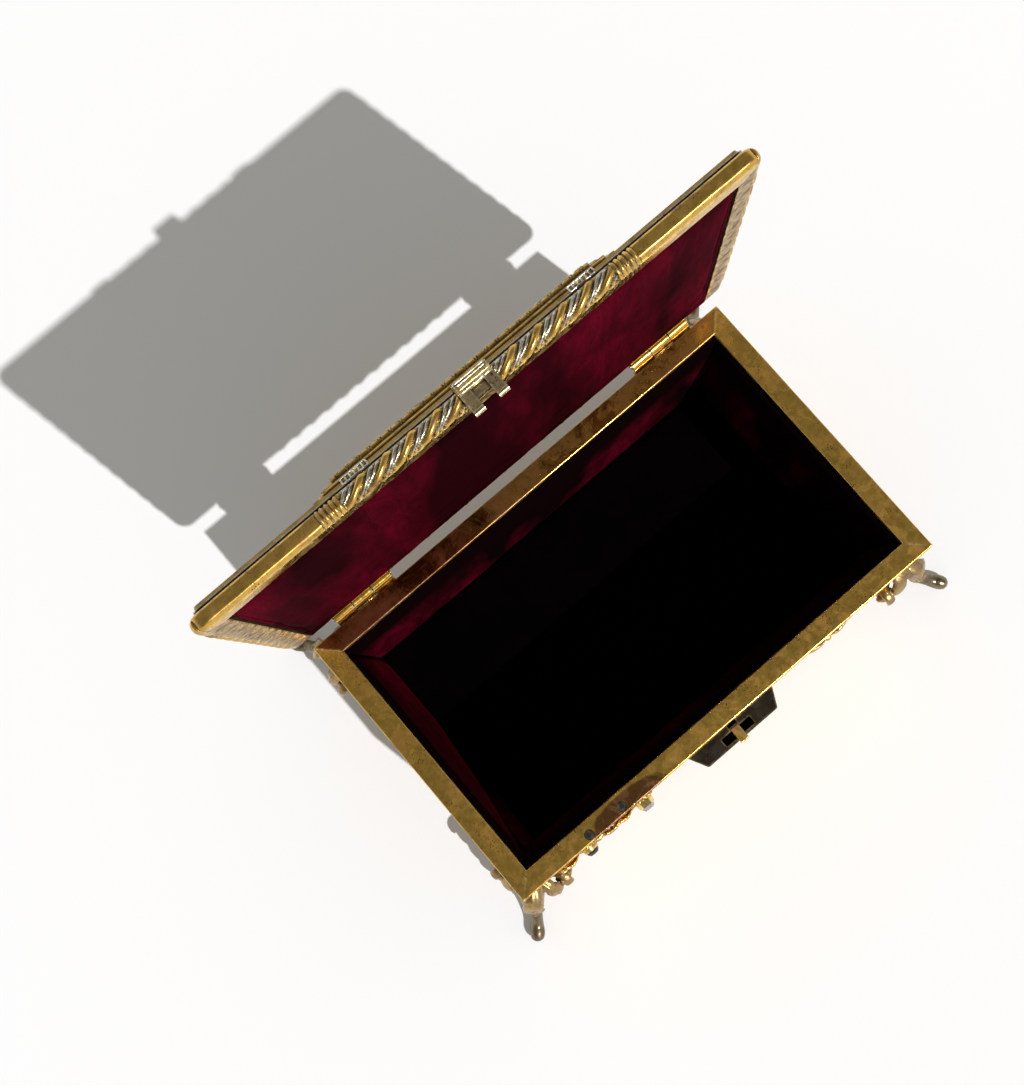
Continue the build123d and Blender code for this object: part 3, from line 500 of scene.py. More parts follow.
def cast_piece(name, casting, metals_used, body="casket", voxel=0.0, replaced=None):
    """Finishes a casting: its forms run together as poured metal, and it rides on its body."""
    bmesh.ops.recalc_face_normals(casting, faces=casting.faces)
    mesh = bpy.data.meshes.new(name)
    casting.to_mesh(mesh)
    casting.free()
    piece = new_object(name, mesh)
    if voxel:
        evaluated(piece, "REMESH", mode="VOXEL", voxel_size=voxel)
        evaluated(piece, "SMOOTH", iterations=2)
    piece.data.shade_smooth()
    for metal in metals_used.split():
        piece.data.materials.append(finish[metal])
    if replaced:
        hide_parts(replaced)
    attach(piece, body)


# Lid mouldings

hinge = Vector(next(joint for joint in frame["joints"] if joint["name"] == "lid_hinge")["pos_m"])
tray_low, tray_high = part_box("lid_tray")
lid_half_length = tray_high.x
lid_centre_z = (tray_low.z + tray_high.z) / 2
lid_half_depth = (tray_high.z - tray_low.z) / 2
lid_corner = 2.5 * mm
tray_face = tray_low.y
hasp_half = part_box("hasp")[1].x
ring_band = (39.25 * mm, 45.75 * mm)
ring_pitch = 1.3 * mm
twist_pitch = 7.3 * mm
twist_lean = 9.8 * mm
side_twist_end = 41.0 * mm
hinge_low, hinge_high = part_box("hinge_leaf_body_right")
hinge_near, hinge_far = hinge_low.x - 0.4 * mm, hinge_high.x + 0.4 * mm
knuckle_clear = 2.06 * mm
plain_top = 1.45 * mm
moulding_step = 0.3 * mm
join_reach = 0.001 * mm

# The moulding's section: outward from the tray's side and back from its face, in millimetres.
lip_section = ((-5.3, 0.02), (-4.6, -0.2), (-2.2, -0.26), (-0.2, -0.14))
round_section = ((1.1, 0.5), (1.72, 1.35), (1.9, 2.3), (1.68, 3.3), (1.0, 4.05), (0.1, 4.35))
fillet_section = ((-1.4, 4.42), (-1.5, 4.78), (-0.6, 4.82), (-0.55, 5.1), (-1.2, 5.2), (-1.5, 6.1), (-2.3, 6.25))
seat_section = ((-2.3, 4.1), (0.0, 4.1), (0.0, 0.3))


def rounded(share):
    return math.sin(math.pi * share) ** 0.6 if 0 < share < 1 else 0.0


def seen_across(out, height):
    """How far across the moulding a place of its section looks from above, 0 at the velvet."""
    return max(0.0, (height / mm + 0.27 * out / mm + 1.41) / 5.8)


def broad_share(across):
    """The broad leaf of each turn narrows toward the panel."""
    return 0.66 - 0.24 * across


def twist_turn(along, across):
    """How far through one turn of the ribbon a place lies, a little uneven as cast."""
    uneven = 0.25 * mm * noise.noise(Vector((along * 90.0, across * 2.0, 0.0)))
    return ((along + uneven - twist_lean * across ** 0.8) / twist_pitch) % 1


def twist_height(turn, broad):
    """Twisted ribbon: a broad leaf and two narrow reeds in each turn, with grooves between."""
    rest = 1 - broad
    leaf = rounded(turn / broad)
    reed = 0.72 * rounded((turn - broad - 0.1 * rest) / (0.42 * rest))
    thin = 0.6 * rounded((turn - broad - 0.58 * rest) / (0.36 * rest))
    return max(leaf, reed, thin)


def twisted_at(side, along):
    """Whether the ribbon runs here, and not a ring, a plain end or the hasp."""
    if side in ("front", "back"):
        return (hasp_half if side == "front" else 0.0) < abs(along) < ring_band[0]
    return abs(along) < side_twist_end


def in_rings(side, along):
    return side in ("front", "back") and ring_band[0] <= abs(along) <= ring_band[1]


def ring_at(along):
    """How far through one ring of the band a place lies."""
    return ((abs(along) - ring_band[0]) / ring_pitch) % 1


def moulding_relief(side, along, share, across):
    """How far the moulding stands out or is cut in, from its plain section, at one place."""
    if in_rings(side, along):
        return (0.12 - 0.75 * (1 - rounded(ring_at(along)))) * mm
    if not twisted_at(side, along):
        return 0.04 * mm * noise.noise(Vector((along * 260.0, share * 5.0, 3.0)))
    fade = min(1.0, 9 * share, 9 * (1 - share))
    return (-0.85 + 1.1 * twist_height(twist_turn(along, across), broad_share(across))) * fade * mm


def clear_of_hinge(out, height):
    """Over a hinge, the section keeps a small distance from the knuckles."""
    down = tray_low.z - out - hinge.z
    back = tray_face + height - hinge.y
    reach = math.hypot(down, back)
    if reach < knuckle_clear:
        down, back = down * knuckle_clear / reach, back * knuckle_clear / reach
    return tray_low.z - hinge.z - down, hinge.y + back - tray_face


moulding_metals = "cast_gilt silvered aged_brass dark_field side_lip"
gilt, silvered, brass, dark, lip = range(5)


def moulding_metal(side, along, around, section):
    """Which metal a face of the moulding shows; dark goes into its grooves and the hasp's recess, and into the gap
    beside the round as painted shade.
    """
    round_faces = len(section) - 1
    if side == "front" and abs(along) < hasp_half:
        return dark
    if around >= round_faces:
        # Painted shade: the first two faces past the round, the gap before the fillet, are dark.
        return dark if around < round_faces + 2 else silvered if around < round_faces + 5 else brass
    middle = (section[around] + section[around + 1]) / 2
    across = seen_across(middle.x, middle.y)
    on_lip = middle.x < -0.3 * mm and side in ("left", "right")
    if in_rings(side, along):
        return dark if rounded(ring_at(along)) < 0.62 else gilt
    if not twisted_at(side, along):
        return lip if on_lip else gilt
    turn = twist_turn(along, across)
    if twist_height(turn, broad_share(across)) < 0.42:
        return dark
    if on_lip:
        return lip
    return silvered if across > 0.3 and turn > broad_share(across) else gilt


def lid_moulding(side):
    """One side of the moulding, mitred at the corners: lip, round, dark gap, fillet and slope."""
    long_side = side in ("front", "back")
    half = lid_half_length if long_side else lid_half_depth
    other_half = lid_half_depth if long_side else lid_half_length
    toward = 1 if side in ("front", "right") else -1
    straight = half - lid_corner
    stops = [straight + lid_corner * math.sin(math.radians(turn)) for turn in (45, 36, 27, 18, 9)]
    count = int(2 * straight / moulding_step)
    run = [-straight + 2 * straight * i / count for i in range(count + 1)]
    places = [-stop for stop in stops] + run + stops[::-1]
    start = ((-0.6, 0.02), (0.1, 0.04)) if side == "back" else lip_section
    section = smooth_run([Vector((out, height, 0)) * mm for out, height in start + round_section], 3)
    slopes = [along_run(section, i) for i in range(len(section))]
    casting = bmesh.new()
    rows = []
    for along in places:
        past = max(0.0, abs(along) - straight)
        bend = math.asin(min(1.0, past / lid_corner)) * (1 if along > 0 else -1)
        def place(out, height):
            if out < -lid_corner:
                slide = max(-half - out, min(half + out, along))
                away = other_half + out
            else:
                slide = along + math.sin(bend) * out
                away = other_half - lid_corner * (1 - math.cos(bend)) + math.cos(bend) * out
            if long_side:
                return Vector((slide, tray_face + height, lid_centre_z + toward * away))
            return Vector((toward * away, tray_face + height, lid_centre_z + slide))
        row = []
        for k, (spot, slope) in enumerate(zip(section, slopes)):
            relief = moulding_relief(side, along, k / (len(section) - 1), seen_across(spot.x, spot.y))
            relief *= 0.2 if spot.x < 0 and spot.y < 1 * mm else 1.0
            out, height = spot.x + slope.y * relief, spot.y - slope.x * relief
            if long_side and abs(along) > ring_band[1]:
                out = min(out, plain_top + 0.12 * (out - plain_top))
            if side == "front" and abs(along) < hasp_half:
                out, height = min(out, 0.0), max(height, -0.05 * mm)
            if side == "back" and hinge_near < abs(along) < hinge_far:
                out, height = clear_of_hinge(out, height)
            row.append(place(out, height))
        for out, height in (*fillet_section, *seat_section):
            row.append(place(out * mm, height * mm))
        row.append(place(section[0].x, seat_section[-1][1] * mm))
        rows.append(row)
    add_skin(casting, rows)
    for number, face in enumerate(list(casting.faces)[:-2]):
        step, around = divmod(number, len(rows[0]))
        along = (places[step] + places[step + 1]) / 2
        face.material_index = moulding_metal(side, along, around, section)
    bmesh.ops.remove_doubles(casting, verts=casting.verts, dist=join_reach)
    cast_piece("edge_" + side, casting, moulding_metals, "lid", replaced="moulding_" + side)


for side in ("front", "right", "back", "left"):
    lid_moulding(side)


def hasp_ridges():
    """Worn ridges across a plate that joins the hasp's prongs, the widest one gilt."""
    casting = bmesh.new()
    reach = hasp_half - 0.3 * mm
    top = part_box("hasp")[1].z
    section = ((55.2, -1.2), (51.9, -1.2), (52.0, -0.1), (52.2, 0.03), (55.1, 0.03))
    add_skin(casting, [[Vector((x, y * mm, top + rise * mm)) for y, rise in section] for x in (-reach, reach)])
    for y, radius in ((55.0, 0.25), (54.3, 0.22), (52.4, 0.22), (53.3, 0.42)):
        gilt_from = len(casting.faces)
        ridge = [Vector((x, y * mm, top - 0.08 * mm)) for x in (-reach, 0.0, reach)]
        add_rod(casting, thick_line(ridge, radius * mm), 12)
    for face in list(casting.faces)[gilt_from:]:
        face.material_index = 1
    cast_piece("hasp_ridges", casting, "worn_silver cast_gilt", "lid")


def hinge_beds():
    """A narrow bed on the back wall under each hinge's knuckles."""
    casting = bmesh.new()
    wall = hinge_low.y
    section = ((0.0, -2.3), (0.55, -2.3), (0.55, -0.5), (0.42, -0.25), (0.0, -0.25))
    for way in (-1, 1):
        rows = []
        for x in (way * hinge_low.x, way * hinge_high.x):
            rows.append([Vector((x, wall + out * mm, hinge.z + height * mm)) for out, height in section])
        add_skin(casting, rows)
    cast_piece("hinge_beds", casting, "dark_patina")


hinge_beds()
hasp_ridges()


# Feet

# Along a leg: outward from the rim's corner, height and radius, in millimetres.
leg_stations = ((1.5, 31.0, 2.6), (6.0, 25.5, 3.9), (9.0, 16.5, 3.1), (12.0, 8.8, 2.2))
ankle_stations = (
    (11.8, 9.0, 2.3), (14.0, 6.3, 2.2), (17.0, 4.0, 2.1), (19.2, 2.9, 2.3), (21.4, 2.6, 2.5), (23.3, 2.35, 2.1),
    (24.2, 2.25, 1.2),
)
knee_leaf = ((1.5, 32.0), (7.5, 30.0), (10.6, 24.0), (11.4, 18.0), (12.6, 14.0), (14.6, 13.2))
foot_voxel = 0.42 * mm

# The bracket's leaves on each wall: places as inset, outward and height, then width, thickness and lobes.
# The first lies flat, and the last comes after the scroll.
wing_leaves = (
    (((1.0, 1.2, 19.0), (5.0, 2.8, 18.6), (9.5, 2.6, 17.6), (13.8, 1.2, 16.6)), 6.4, 1.5, 4),
    (((0.5, 1.0, 18.0), (1.5, 2.6, 24.0), (2.0, 2.2, 29.0), (2.4, 0.8, 33.0)), 5.2, 1.5, 4),
    (((3.0, 1.4, 19.0), (6.4, 3.4, 23.5), (8.0, 6.4, 26.2)), 5.2, 1.4, 3),
    (((1.0, 1.5, 30.5), (2.6, 6.0, 28.0), (3.4, 8.6, 22.5), (3.6, 7.6, 16.5)), 5.8, 2.2, 3),
    (((4.0, 1.2, 17.5), (6.5, 3.6, 17.0), (7.6, 6.6, 18.2)), 4.6, 1.3, 3),
)
leaves_before_scroll = 4
# The pad under the base plate: places outward from the corner, radius and top.
pad_discs = ((-9.5, -2.0, 3.4, 14.8), (-2.0, -9.5, 3.4, 14.8), (-6.0, -6.0, 3.4, 14.8), (-1.0, -1.0, 4.2, 14.9))
toe_way = Vector((14.0, 18.0)).normalized()
body_half = Vector((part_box("rim_front")[1].x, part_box("rim_back")[1].y))


def cast_foot(name, x_side, y_side):
    """A scroll foot: leafed knee, ringed ankle, rounded toe, and a leafy bracket with two rolled ends."""
    def at(x_out, y_out, height):
        return Vector((x_side * (body_half.x + x_out * mm), y_side * (body_half.y + y_out * mm), height * mm))

    def on_leg(out, height):
        return at(toe_way.x * out, toe_way.y * out, height)

    def add_leg_rod(metal, stations, *shape):
        add_rod(metal, [(on_leg(out, height), radius * mm) for out, height, radius in stations], *shape)

    casting = bmesh.new()
    up = Vector((0, 0, 1))
    across = Vector((x_side * toe_way.y, -y_side * toe_way.x, 0))
    add_leg_rod(casting, leg_stations, 24, 6, 0.07)
    for out, height, radius in ((11.3, 10.4, 3.0), (12.4, 8.2, 2.75)):
        edge = radius * 0.82
        ring = ((out - 0.25, height + 0.5, edge), (out, height, radius), (out + 0.25, height - 0.5, edge))
        add_leg_rod(casting, ring)
    ankle = bmesh.new()
    add_leg_rod(ankle, ankle_stations)
    cast_piece("ankle_" + name, ankle, "toe_grey")
    add_leaf(casting, [on_leg(*spot) for spot in knee_leaf], across, 7.5 * mm, 1.6 * mm, 5)
    for x_wing in (1, 0):
        y_wing = 1 - x_wing
        def on_wing(inset, out, height):
            return at(-inset * x_wing + out * y_wing, -inset * y_wing + out * x_wing, height)
        wall_out = Vector((x_side * y_wing, y_side * x_wing, 0))
        wall_along = Vector((x_side * x_wing, y_side * y_wing, 0))
        for number, (spots, width, thick, lobes) in enumerate(wing_leaves):
            if number == leaves_before_scroll:
                add_scroll(casting, on_wing(8.0, 6.4, 22.0), wall_out, up, 4.0 * mm, 1.6, 4.6 * mm, 1.5 * mm)
            leaf_across = wall_along if number else up
            add_leaf(casting, [on_wing(*spot) for spot in spots], leaf_across, width * mm, thick * mm, lobes)
    for x_out, y_out, radius, top in pad_discs:
        disc = [at(x_out, y_out, height) for height in (12.8, top)]
        add_rod(casting, thick_line(disc, radius * mm), 20)
    core = ((2.4, 2.6, 14.0, 2.2), (3.2, 3.6, 24.0, 2.4), (1.6, 1.8, 31.5, 1.6))
    add_rod(casting, [(at(x_out, y_out, height), radius * mm) for x_out, y_out, height, radius in core], 20)
    cast_piece("foot_scroll_" + name, casting, "foot_gilt", voxel=foot_voxel, replaced="foot_" + name)


for row, y_side in (("front", -1), ("rear", 1)):
    for end, x_side in (("left", -1), ("right", 1)):
        cast_foot(f"{row}_{end}", x_side, y_side)


# Lid panel: foliage in its end fields, pierced strips on the slope, and the plaque's teeth and ridges

panel_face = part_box("lid_panel")[1].y
plaque_low, plaque_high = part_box("lid_plaque")
plaque_edge = 3.2
plaque_half = (plaque_high.z - plaque_low.z) / 2 / mm

# One end's stems, and its leaves with their widths, outward from the lid's middle and along z, in millimetres.
foliage_stems = (
    ((61.0, 1.0), (56.0, 6.0), (55.0, 13.0), (60.0, 18.5), (67.0, 17.0), (69.0, 11.0), (65.0, 8.0), (61.5, 11.0),
     (63.5, 13.5)),
    ((60.0, 18.5), (66.0, 22.0), (68.0, 28.0), (63.0, 33.0), (56.5, 31.0), (55.0, 25.5), (59.0, 23.5), (61.5, 27.0)),
    ((63.0, 33.0), (67.5, 35.5), (71.5, 38.0), (73.5, 35.0), (71.0, 33.0)),
)
foliage_leaves = (
    ((56.0, 6.0), (52.0, 9.0), (50.5, 13.5), 4.4), ((55.2, 14.0), (51.5, 18.0), (50.8, 23.0), 4.4),
    ((67.0, 17.0), (72.0, 18.0), (74.5, 22.0), 4.6), ((69.0, 12.0), (73.0, 9.0), (74.5, 4.5), 4.6),
    ((68.0, 27.0), (72.5, 28.5), (75.0, 31.5), 4.0), ((56.5, 30.5), (52.5, 33.0), (50.8, 37.0), 4.4),
    ((63.0, 33.0), (61.0, 36.5), (57.0, 38.6), 3.8), ((61.0, 19.0), (59.5, 22.0), (56.0, 20.5), 3.0),
    ((63.5, 1.5), (69.0, 2.0), (73.0, 0.8), 3.4),
)


def on_panel(x, z, rise=0.0):
    """A place on the lid's raised panel, from the middle of the lid, in millimetres."""
    return Vector((x * mm, panel_face + rise * mm, lid_centre_z + z * mm))


def end_foliage(name, x_side):
    """Mirrored leaf scrolls that fill one end of the panel."""
    casting = bmesh.new()
    outward = Vector((0, 1, 0))
    for z_side in (-1, 1):
        def spot(x, z, rise=0.3):
            return on_panel(x_side * x, z_side * z, rise)
        for stem in foliage_stems:
            path = [(spot(x, z), (0.85 - 0.35 * i / len(stem)) * mm) for i, (x, z) in enumerate(stem)]
            add_rod(casting, path, 10)
        for root, middle, tip, width in foliage_leaves:
            spine = [spot(*root, 0.4), spot(*middle, 0.9), spot(*tip, 0.3)]
            ahead = (spine[2] - spine[0]).normalized()
            add_leaf(casting, spine, ahead.cross(outward), width * mm, 0.75 * mm, 4)
        add_ball(casting, spot(63.3, 12.0, 0.4), 1.3 * mm)
        add_ball(casting, spot(60.6, 26.6, 0.4), 1.2 * mm)
    add_ball(casting, on_panel(x_side * 61.0, 0.0, 0.3), 2.0 * mm)
    cast_piece(name, casting, "pale_relief", "lid")


def pierced_strip(name, x, way):
    """A small pierced strip on the slope beside the panel: two rails with bars between, on a dark bed that is painted
    shade seen through the piercings.
    """
    casting = bmesh.new()
    def spot(along, across, rise=0.0):
        drop = 0.55 + 0.5 * (across + 0.8) - rise
        z = lid_centre_z + way * (lid_half_depth - drop * mm)
        return Vector(((x + along) * mm, tray_face + (5.95 + across) * mm, z))

    for across in (-0.75, 0.75):
        rail = [spot(along, across + 0.1 * math.sin(2.6 * along)) for along in (-3.6, -2.4, -1.2, 0.0, 1.2, 2.4, 3.6)]
        add_rod(casting, thick_line(rail, 0.2 * mm), 10)
    for bar in range(7):
        along = -3.5 + 1.17 * bar
        ends = [(spot(along, across), 0.18 * mm) for across in (-0.75, 0.75)]
        add_rod(casting, [ends[0], (spot(along + 0.1, 0.0), 0.24 * mm), ends[1]], 10)
    # Painted shade: a dark bed under the piercings.
    bed = bmesh.new()
    section = ((-0.7, -0.05), (0.7, -0.05), (0.7, -0.5), (-0.7, -0.5))
    add_skin(bed, [[spot(along, across, rise) for across, rise in section] for along in (-3.5, 3.5)])
    cast_piece(name + "_bed", bed, "dark_field", "lid")
    cast_piece(name, casting, "silvered", "lid")


def toothed_border():
    """Small paired teeth along the top edge of the plaque."""
    casting = bmesh.new()
    edge_x = plaque_high.x / mm - plaque_edge - 0.7
    edge_z = plaque_half - plaque_edge - 0.7
    rise = (plaque_high.y - panel_face) / mm - 0.12
    section = ((-0.55, -0.1), (0.5, -0.1), (0.55, 0.12), (0.3, 0.34), (-0.3, 0.34), (-0.55, 0.12))
    sides = ((edge_x - 3.6, edge_z, True), (edge_z - 3.6, edge_x, False))
    for half, away, lengthwise in sides:
        count = int(2 * half / 2.9)
        pitch = 2 * half / count
        for way in (-1, 1):
            for tooth in range(count):
                start = -half + (tooth + 0.5) * pitch
                for offset, length in ((-0.35, 1.5), (0.85, 0.36)):
                    middle = start + offset
                    rows = []
                    for end in (-0.5, 0.5):
                        row = []
                        for depth, lift in section:
                            step, out = middle + end * length, way * (away + depth)
                            x, z = (step, out) if lengthwise else (out, step)
                            row.append(on_panel(x, z, rise + lift))
                        rows.append(row)
                    add_skin(casting, rows)
    cast_piece("plaque_teeth", casting, "aged_brass", "lid")


def plaque_ridges():
    """Gilt ridges along the plaque's two steps, and pairs of dark strokes in its upper step, painted shade that
    stands for its notches.
    """
    step = (plaque_high.y - plaque_low.y) / 2 / mm
    ridges = bmesh.new()
    notches = bmesh.new()
    lines = (
        (0.0, 0.45, 0.4), (0.0, 1.5, 0.4), (plaque_edge, step + 0.45, 0.36), (plaque_edge, 2 * step - 0.7, 0.5),
    )
    for way in (-1, 1):
        for inset, rise, radius in lines:
            reach = plaque_high.x / mm - inset - 3.3
            z = way * (plaque_half - inset)
            line = [on_panel(x, z, rise) for x in (-reach, -reach / 2, 0.0, reach / 2, reach)]
            add_rod(ridges, thick_line(line, radius * mm), 10)
        reach = plaque_high.x / mm - plaque_edge - 3.6
        pairs = int(2 * reach / 3.1)
        for pair in range(pairs):
            # Painted shade: each notch is a dark stroke.
            for offset in (-0.38, 0.38):
                x = -reach + (pair + 0.5) * 2 * reach / pairs + offset
                low, high = 2 * step - 1.3, 2 * step - 0.25
                z = way * (plaque_half - plaque_edge + 0.42)
                stroke = [on_panel(x, z, rise) for rise in (low, (low + high) / 2, high)]
                add_rod(notches, thick_line(stroke, 0.2 * mm), 8)
    cast_piece("plaque_ridges", ridges, "cast_gilt", "lid")
    cast_piece("plaque_notches", notches, "dark_patina", "lid")


for name, x_side in (("foliage_left", -1), ("foliage_right", 1)):
    end_foliage(name, x_side)
for end, x in (("left", -33.0), ("right", 33.0)):
    for row, way in (("front", 1), ("back", -1)):
        pierced_strip(f"pierced_{row}_{end}", x, way)
toothed_border()
plaque_ridges()


# Mounts on the front

front_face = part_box("wall_front")[0].y
collet_low, collet_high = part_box("jewel_collet")
mount_height = (collet_low.z + collet_high.z) / 2
mount_voxel = 0.22 * mm
front_out = Vector((0, -1, 0))


def on_front(x, out, height):
    """A place on the front of the body, from the mounts' middle line, in millimetres."""
    return Vector((x * mm, front_face - out * mm, mount_height + height * mm))


def add_spray(casting, spine, width, thick):
    """A leaf on the front, flat against it."""
    toward_tip = (spine[2] - spine[0]).normalized()
    add_leaf(casting, spine, toward_tip.cross(front_out), width * mm, thick * mm, 4)


def left_mount():
    """Leaf scrolls that carry the two stones and the rosette."""
    casting = bmesh.new()
    for low, high in ((-64.5, -58.5), (-52.5, -48.5), (-43.0, -37.0)):
        stem = ((low, 0.6, 0.9), ((low + high) / 2, 1.1, 1.1), (high, 0.6, 0.9))
        add_rod(casting, [(on_front(x, out, 0), radius * mm) for x, out, radius in stem], 14)
    for start, spread_way in ((-58.0, -1), (-37.5, -1), (-48.6, 1), (-42.8, -1)):
        for lean in (-1, 0, 1):
            tip = 7.0 if lean == 0 else 6.0
            spine = [on_front(start, 0.8, lean * 0.6), on_front(start + spread_way * tip * 0.5, 1.9, lean * 2.0),
                     on_front(start + spread_way * tip, 0.9 + 0.5 * abs(lean), lean * 3.4)]
            add_spray(casting, spine, 3.0, 0.8)
    for petal in range(8):
        turn = 2 * math.pi * petal / 8
        reach = Vector((math.cos(turn), 0, math.sin(turn)))
        middle = on_front(-45.8, 1.4, 0)
        spine = [middle, middle + reach * 1.5 * mm + Vector((0, -0.5 * mm, 0)), middle + reach * 2.9 * mm]
        add_leaf(casting, spine, reach.cross(front_out), 1.7 * mm, 0.55 * mm, 1)
    add_ball(casting, on_front(-45.8, 1.9, 0), 0.9 * mm)
    for place, radius, beads in ((-33.5, 3.35, 16), (-54.3, 2.9, 14)):
        cup = [(on_front(place, out, 0), (radius + flare) * mm) for out, flare in ((0.05, 0.45), (1.0, 0.3))]
        add_rod(casting, cup, 24)
        for bead in range(beads):
            turn = 2 * math.pi * bead / beads
            add_ball(casting, on_front(place + radius * math.cos(turn), 1.2, radius * math.sin(turn)), 0.42 * mm)
    along = Vector((1, 0, 0))
    add_scroll(casting, on_front(-64.4, 1.4, 0), along, front_out, 1.5 * mm, 1.3, 3.4 * mm, 0.8 * mm)
    cast_piece("mount_scrolls_left", casting, "cast_gilt", voxel=mount_voxel, replaced="front_mount_left")


def right_mount():
    """A low pair of leaf sprays, tip to tip."""
    casting = bmesh.new()
    for way in (-1, 1):
        for lean in (-1, 0, 1):
            tip = 8.6 if lean == 0 else 6.6
            spine = [on_front(39.0 + way * 0.4, 0.5, lean * 0.3), on_front(39.0 + way * tip * 0.5, 1.2, lean * 1.5),
                     on_front(39.0 + way * tip, 0.5, lean * 2.9)]
            add_spray(casting, spine, 2.7, 0.7)
    add_ball(casting, on_front(39.0, 0.8, 0), 1.3 * mm)
    cast_piece("mount_leaves_right", casting, "cast_gilt", voxel=mount_voxel, replaced="front_mount_right")


left_mount()
right_mount()


# Velvet pads

def inflate(pad, most):
    """Lets the pad swell as stuffed cloth for a short while; no point moves further than most."""
    start = [vertex.co.copy() for vertex in pad.data.vertices]
    cloth = pad.modifiers.new("stuffed", "CLOTH")
    cloth.settings.quality = 4
    cloth.settings.mass = 0.2
    cloth.settings.use_pressure = True
    cloth.settings.uniform_pressure_force = 4.0
    cloth.settings.effector_weights.gravity = 0.0
    cloth.settings.tension_stiffness = 12.0
    cloth.settings.bending_stiffness = 0.4
    scene = bpy.context.scene
    for moment in range(1, cloth_frames + 1):
        scene.frame_set(moment)
    swollen = bpy.data.meshes.new_from_object(pad.evaluated_get(bpy.context.evaluated_depsgraph_get()))
    pad.modifiers.clear()
    scene.frame_set(1)
    for vertex, place, moved in zip(pad.data.vertices, start, swollen.vertices):
        way = moved.co - place
        vertex.co = place + (way * (most / way.length) if way.length > most else way)
    bpy.data.meshes.remove(swollen)


def add_piping(cloth, corners):
    """A rolled velvet edge from corner to corner, a little uneven."""
    for start, end in zip(corners, corners[1:]):
        path = []
        for step in range(41):
            place = start.lerp(end, step / 40)
            path.append((place, piping * (0.92 + 0.12 * noise.noise(place * 150.0))))
        add_rod(cloth, path, 12)


def add_floor_edges(cloth):
    """The rolled edge round the velvet floor."""
    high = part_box("lining_floor")[1]
    x, y, z = high.x - piping, high.y - piping, high.z - 0.4 * mm
    add_piping(cloth, [Vector(spot) for spot in ((-x, -y, z), (x, -y, z), (x, y, z), (-x, y, z), (-x, -y, z))])


def add_lid_edges(cloth):
    """The velvet's hem over the tray's hinge edge, and its rolled edge along the other sides."""
    low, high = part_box("lid_lining")
    rows = []
    for i in range(hem_steps + 1):
        x = (low.x + 0.1 * mm) * (1 - 2 * i / hem_steps)
        past_hinge = max(hinge_near - abs(x), abs(x) - hinge_far) / mm
        hang = (0.75 + 0.25 * noise.noise(Vector((x * 120.0, 0.0, 5.0)))) * min(1.0, max(0.0, past_hinge))
        hem = low.z - hang * mm
        face = low.y + 0.05 * mm * noise.noise(Vector((x * 200.0, 0.0, 9.0)))
        top = low.z + 8.0 * mm
        section = (
            (low.y - 0.12 * mm, hem + 0.1 * mm), (face - 0.22 * mm, hem), (face - 0.32 * mm, hem + 0.25 * mm),
            (face - 0.3 * mm, low.z + 0.6 * mm), (face, low.z + 1.8 * mm), (face, (low.z + top) / 2),
            (face + 0.1 * mm, top), (low.y + 0.45 * mm, top), (low.y + 0.45 * mm, low.z + 0.1 * mm),
            (low.y - 0.12 * mm, low.z),
        )
        rows.append([Vector((x, y, z)) for y, z in section])
    add_skin(cloth, rows)
    side_x, top_z, middle_y = high.x - piping, high.z - piping, low.y + 0.8 * mm
    corners = [(-side_x, low.z + 1 * mm), (-side_x, top_z), (side_x, top_z), (side_x, low.z + 1 * mm)]
    add_piping(cloth, [Vector((x, middle_y, z)) for x, z in corners])


def velvet_pad(node):
    """A lining swollen as a stuffed pad, its velvet a little uneven and crushed."""
    pad = new_object("velvet_" + node, nodes[node].data.copy())
    if node == "lining_floor":
        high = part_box(node)[1]
        pad.data.transform(Matrix.Diagonal((1 + floor_spread / high.x, 1 + floor_spread / high.y, 1, 1)))
    evaluated(pad, "REMESH", mode="VOXEL", voxel_size=pad_voxel)
    evaluated(pad, "SMOOTH", iterations=2)
    inflate(pad, most_swell)
    evaluated(pad, "SUBSURF", levels=1)
    for vertex, normal in zip(pad.data.vertices, [v.normal.copy() for v in pad.data.vertices]):
        swell = 0.12 + noise.noise(vertex.co * 55.0) * 0.2 + noise.noise(vertex.co * 170.0) * 0.1
        vertex.co += normal * swell * mm
    if node in sewn_edges:
        cloth = bmesh.new()
        cloth.from_mesh(pad.data)
        sewn_edges[node](cloth)
        bmesh.ops.recalc_face_normals(cloth, faces=cloth.faces)
        cloth.to_mesh(pad.data)
        cloth.free()
    pad.data.shade_smooth()
    pad.data.materials.clear()
    pad.data.materials.append(nodes[node].data.materials[0])
    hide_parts(node)
    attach(pad, "lid" if node == "lid_lining" else "casket")


def lining_bed():
    """Backing cloth on the base plate, under the linings, in the floor's near-black velvet: painted shade in the gaps
    between the linings.
    """
    low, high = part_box("lining_back")
    reach_x, reach_y = high.x, high.y
    cloth = bmesh.new()
    corners = ((-reach_x, -reach_y), (reach_x, -reach_y), (reach_x, reach_y), (-reach_x, reach_y))
    add_skin(cloth, [[Vector((x, y, low.z + rise)) for x, y in corners] for rise in (0.02 * mm, 0.25 * mm)])
    cast_piece("lining_bed", cloth, "floor_velvet")


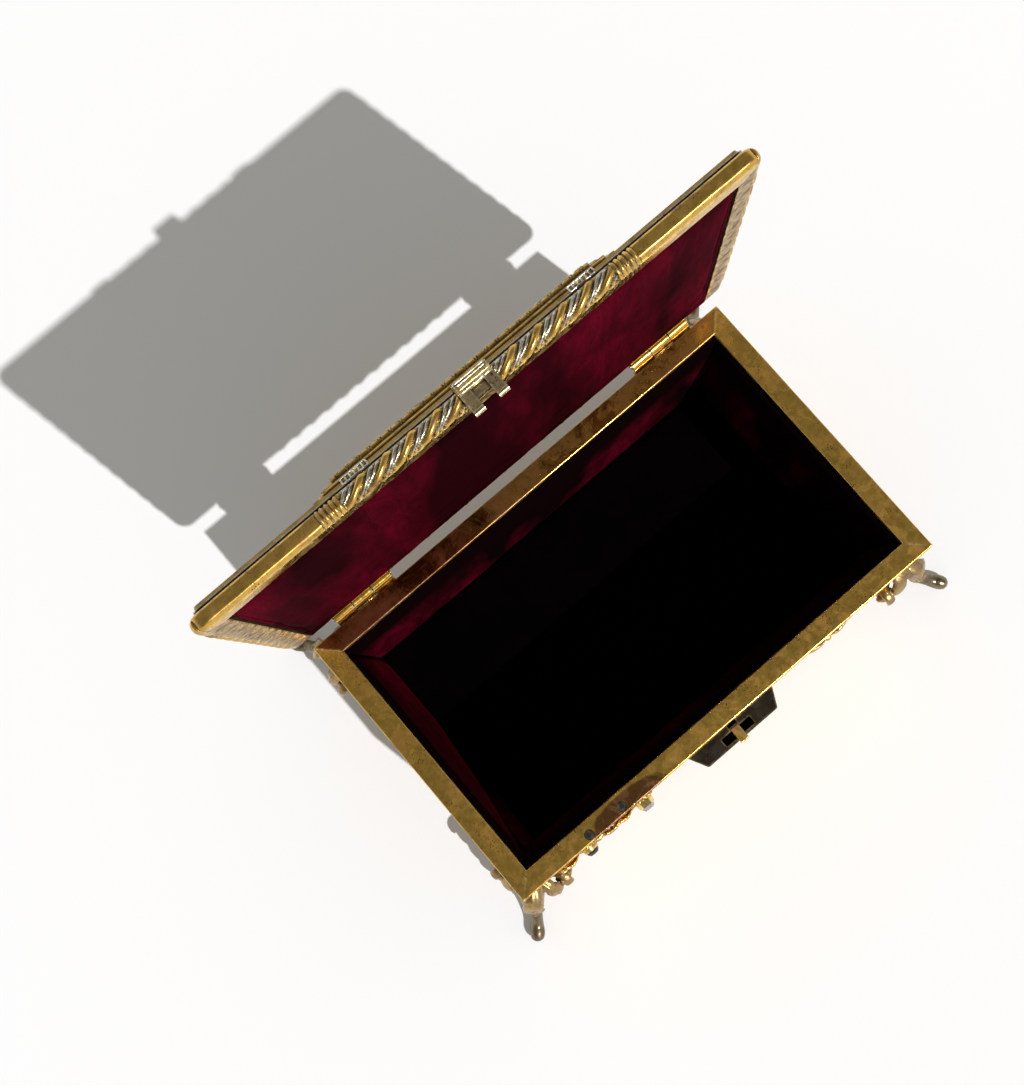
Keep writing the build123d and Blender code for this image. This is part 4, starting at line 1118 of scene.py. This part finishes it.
pad_voxel = 1.3 * mm
floor_spread = 0.6 * mm
most_swell = 0.35 * mm
piping = 0.75 * mm
hem_steps = 170
sewn_edges = {"lid_lining": add_lid_edges, "lining_floor": add_floor_edges}
cloth_frames = 20
for lining in ("lid_lining", "lining_front", "lining_back", "lining_left", "lining_right", "lining_floor"):
    velvet_pad(lining)
lining_bed()


# Stage, light and camera

def stage_floor():
    """A pale table that the casket stands on."""
    half = 3.0
    mesh = bpy.data.meshes.new("table")
    mesh.from_pydata([(-half, -half, 0), (half, -half, 0), (half, half, 0), (-half, half, 0)], [], [(0, 1, 2, 3)])
    floor = new_object("table", mesh)
    material, tree, shader = new_material("table_white")
    fill(tree, shader, {"Base Color": shade((0.95, 0.955, 0.965)), "Roughness": 0.9, "Specular IOR Level": 0.0})
    mesh.materials.append(material)


def light_scene():
    """Low sun from the front, a little from the right, and a soft room, white at the horizon."""
    sun = bpy.data.lights.new("sun", "SUN")
    sun.energy = 3.0
    sun.angle = math.radians(0.7)
    sun.color = (1.0, 0.99, 0.99)
    lamp = new_object("sun", sun)
    sunbeam = Vector((-0.176, 0.885, -1.0))
    lamp.rotation_euler = sunbeam.to_track_quat("-Z", "Y").to_euler()

    world = bpy.data.worlds.new("room")
    bpy.context.scene.world = world
    world.use_nodes = True
    tree = world.node_tree
    up = add(tree, "SeparateXYZ", {"Vector": add(tree, "TexCoord").outputs["Generated"]}).outputs["Z"]
    glow = mix(tree, spread(tree, up, 0.2, 0.5), shade((1.0, 1.0, 1.0)), shade((0.241, 0.240, 0.223)))
    fill(tree, tree.nodes["Background"], {"Color": glow, "Strength": 1.0})


def place_camera():
    """The photographer looks almost straight down, the casket turned in the picture."""
    camera = bpy.data.cameras.new("camera")
    camera.sensor_width = 36.0
    camera.lens = 44.41
    camera.shift_x = -0.0304
    camera.shift_y = 0.0051
    eye = new_object("camera", camera)
    eye.location = (-25.39 * mm, -14.60 * mm, 464.76 * mm)
    eye.rotation_euler = Euler([math.radians(turn) for turn in (6.208, 1.858, -40.599)])
    bpy.context.scene.camera = eye


stage_floor()
light_scene()
place_camera()
bpy.context.scene.view_settings.view_transform = "Standard"

bpy.context.view_layer.update()
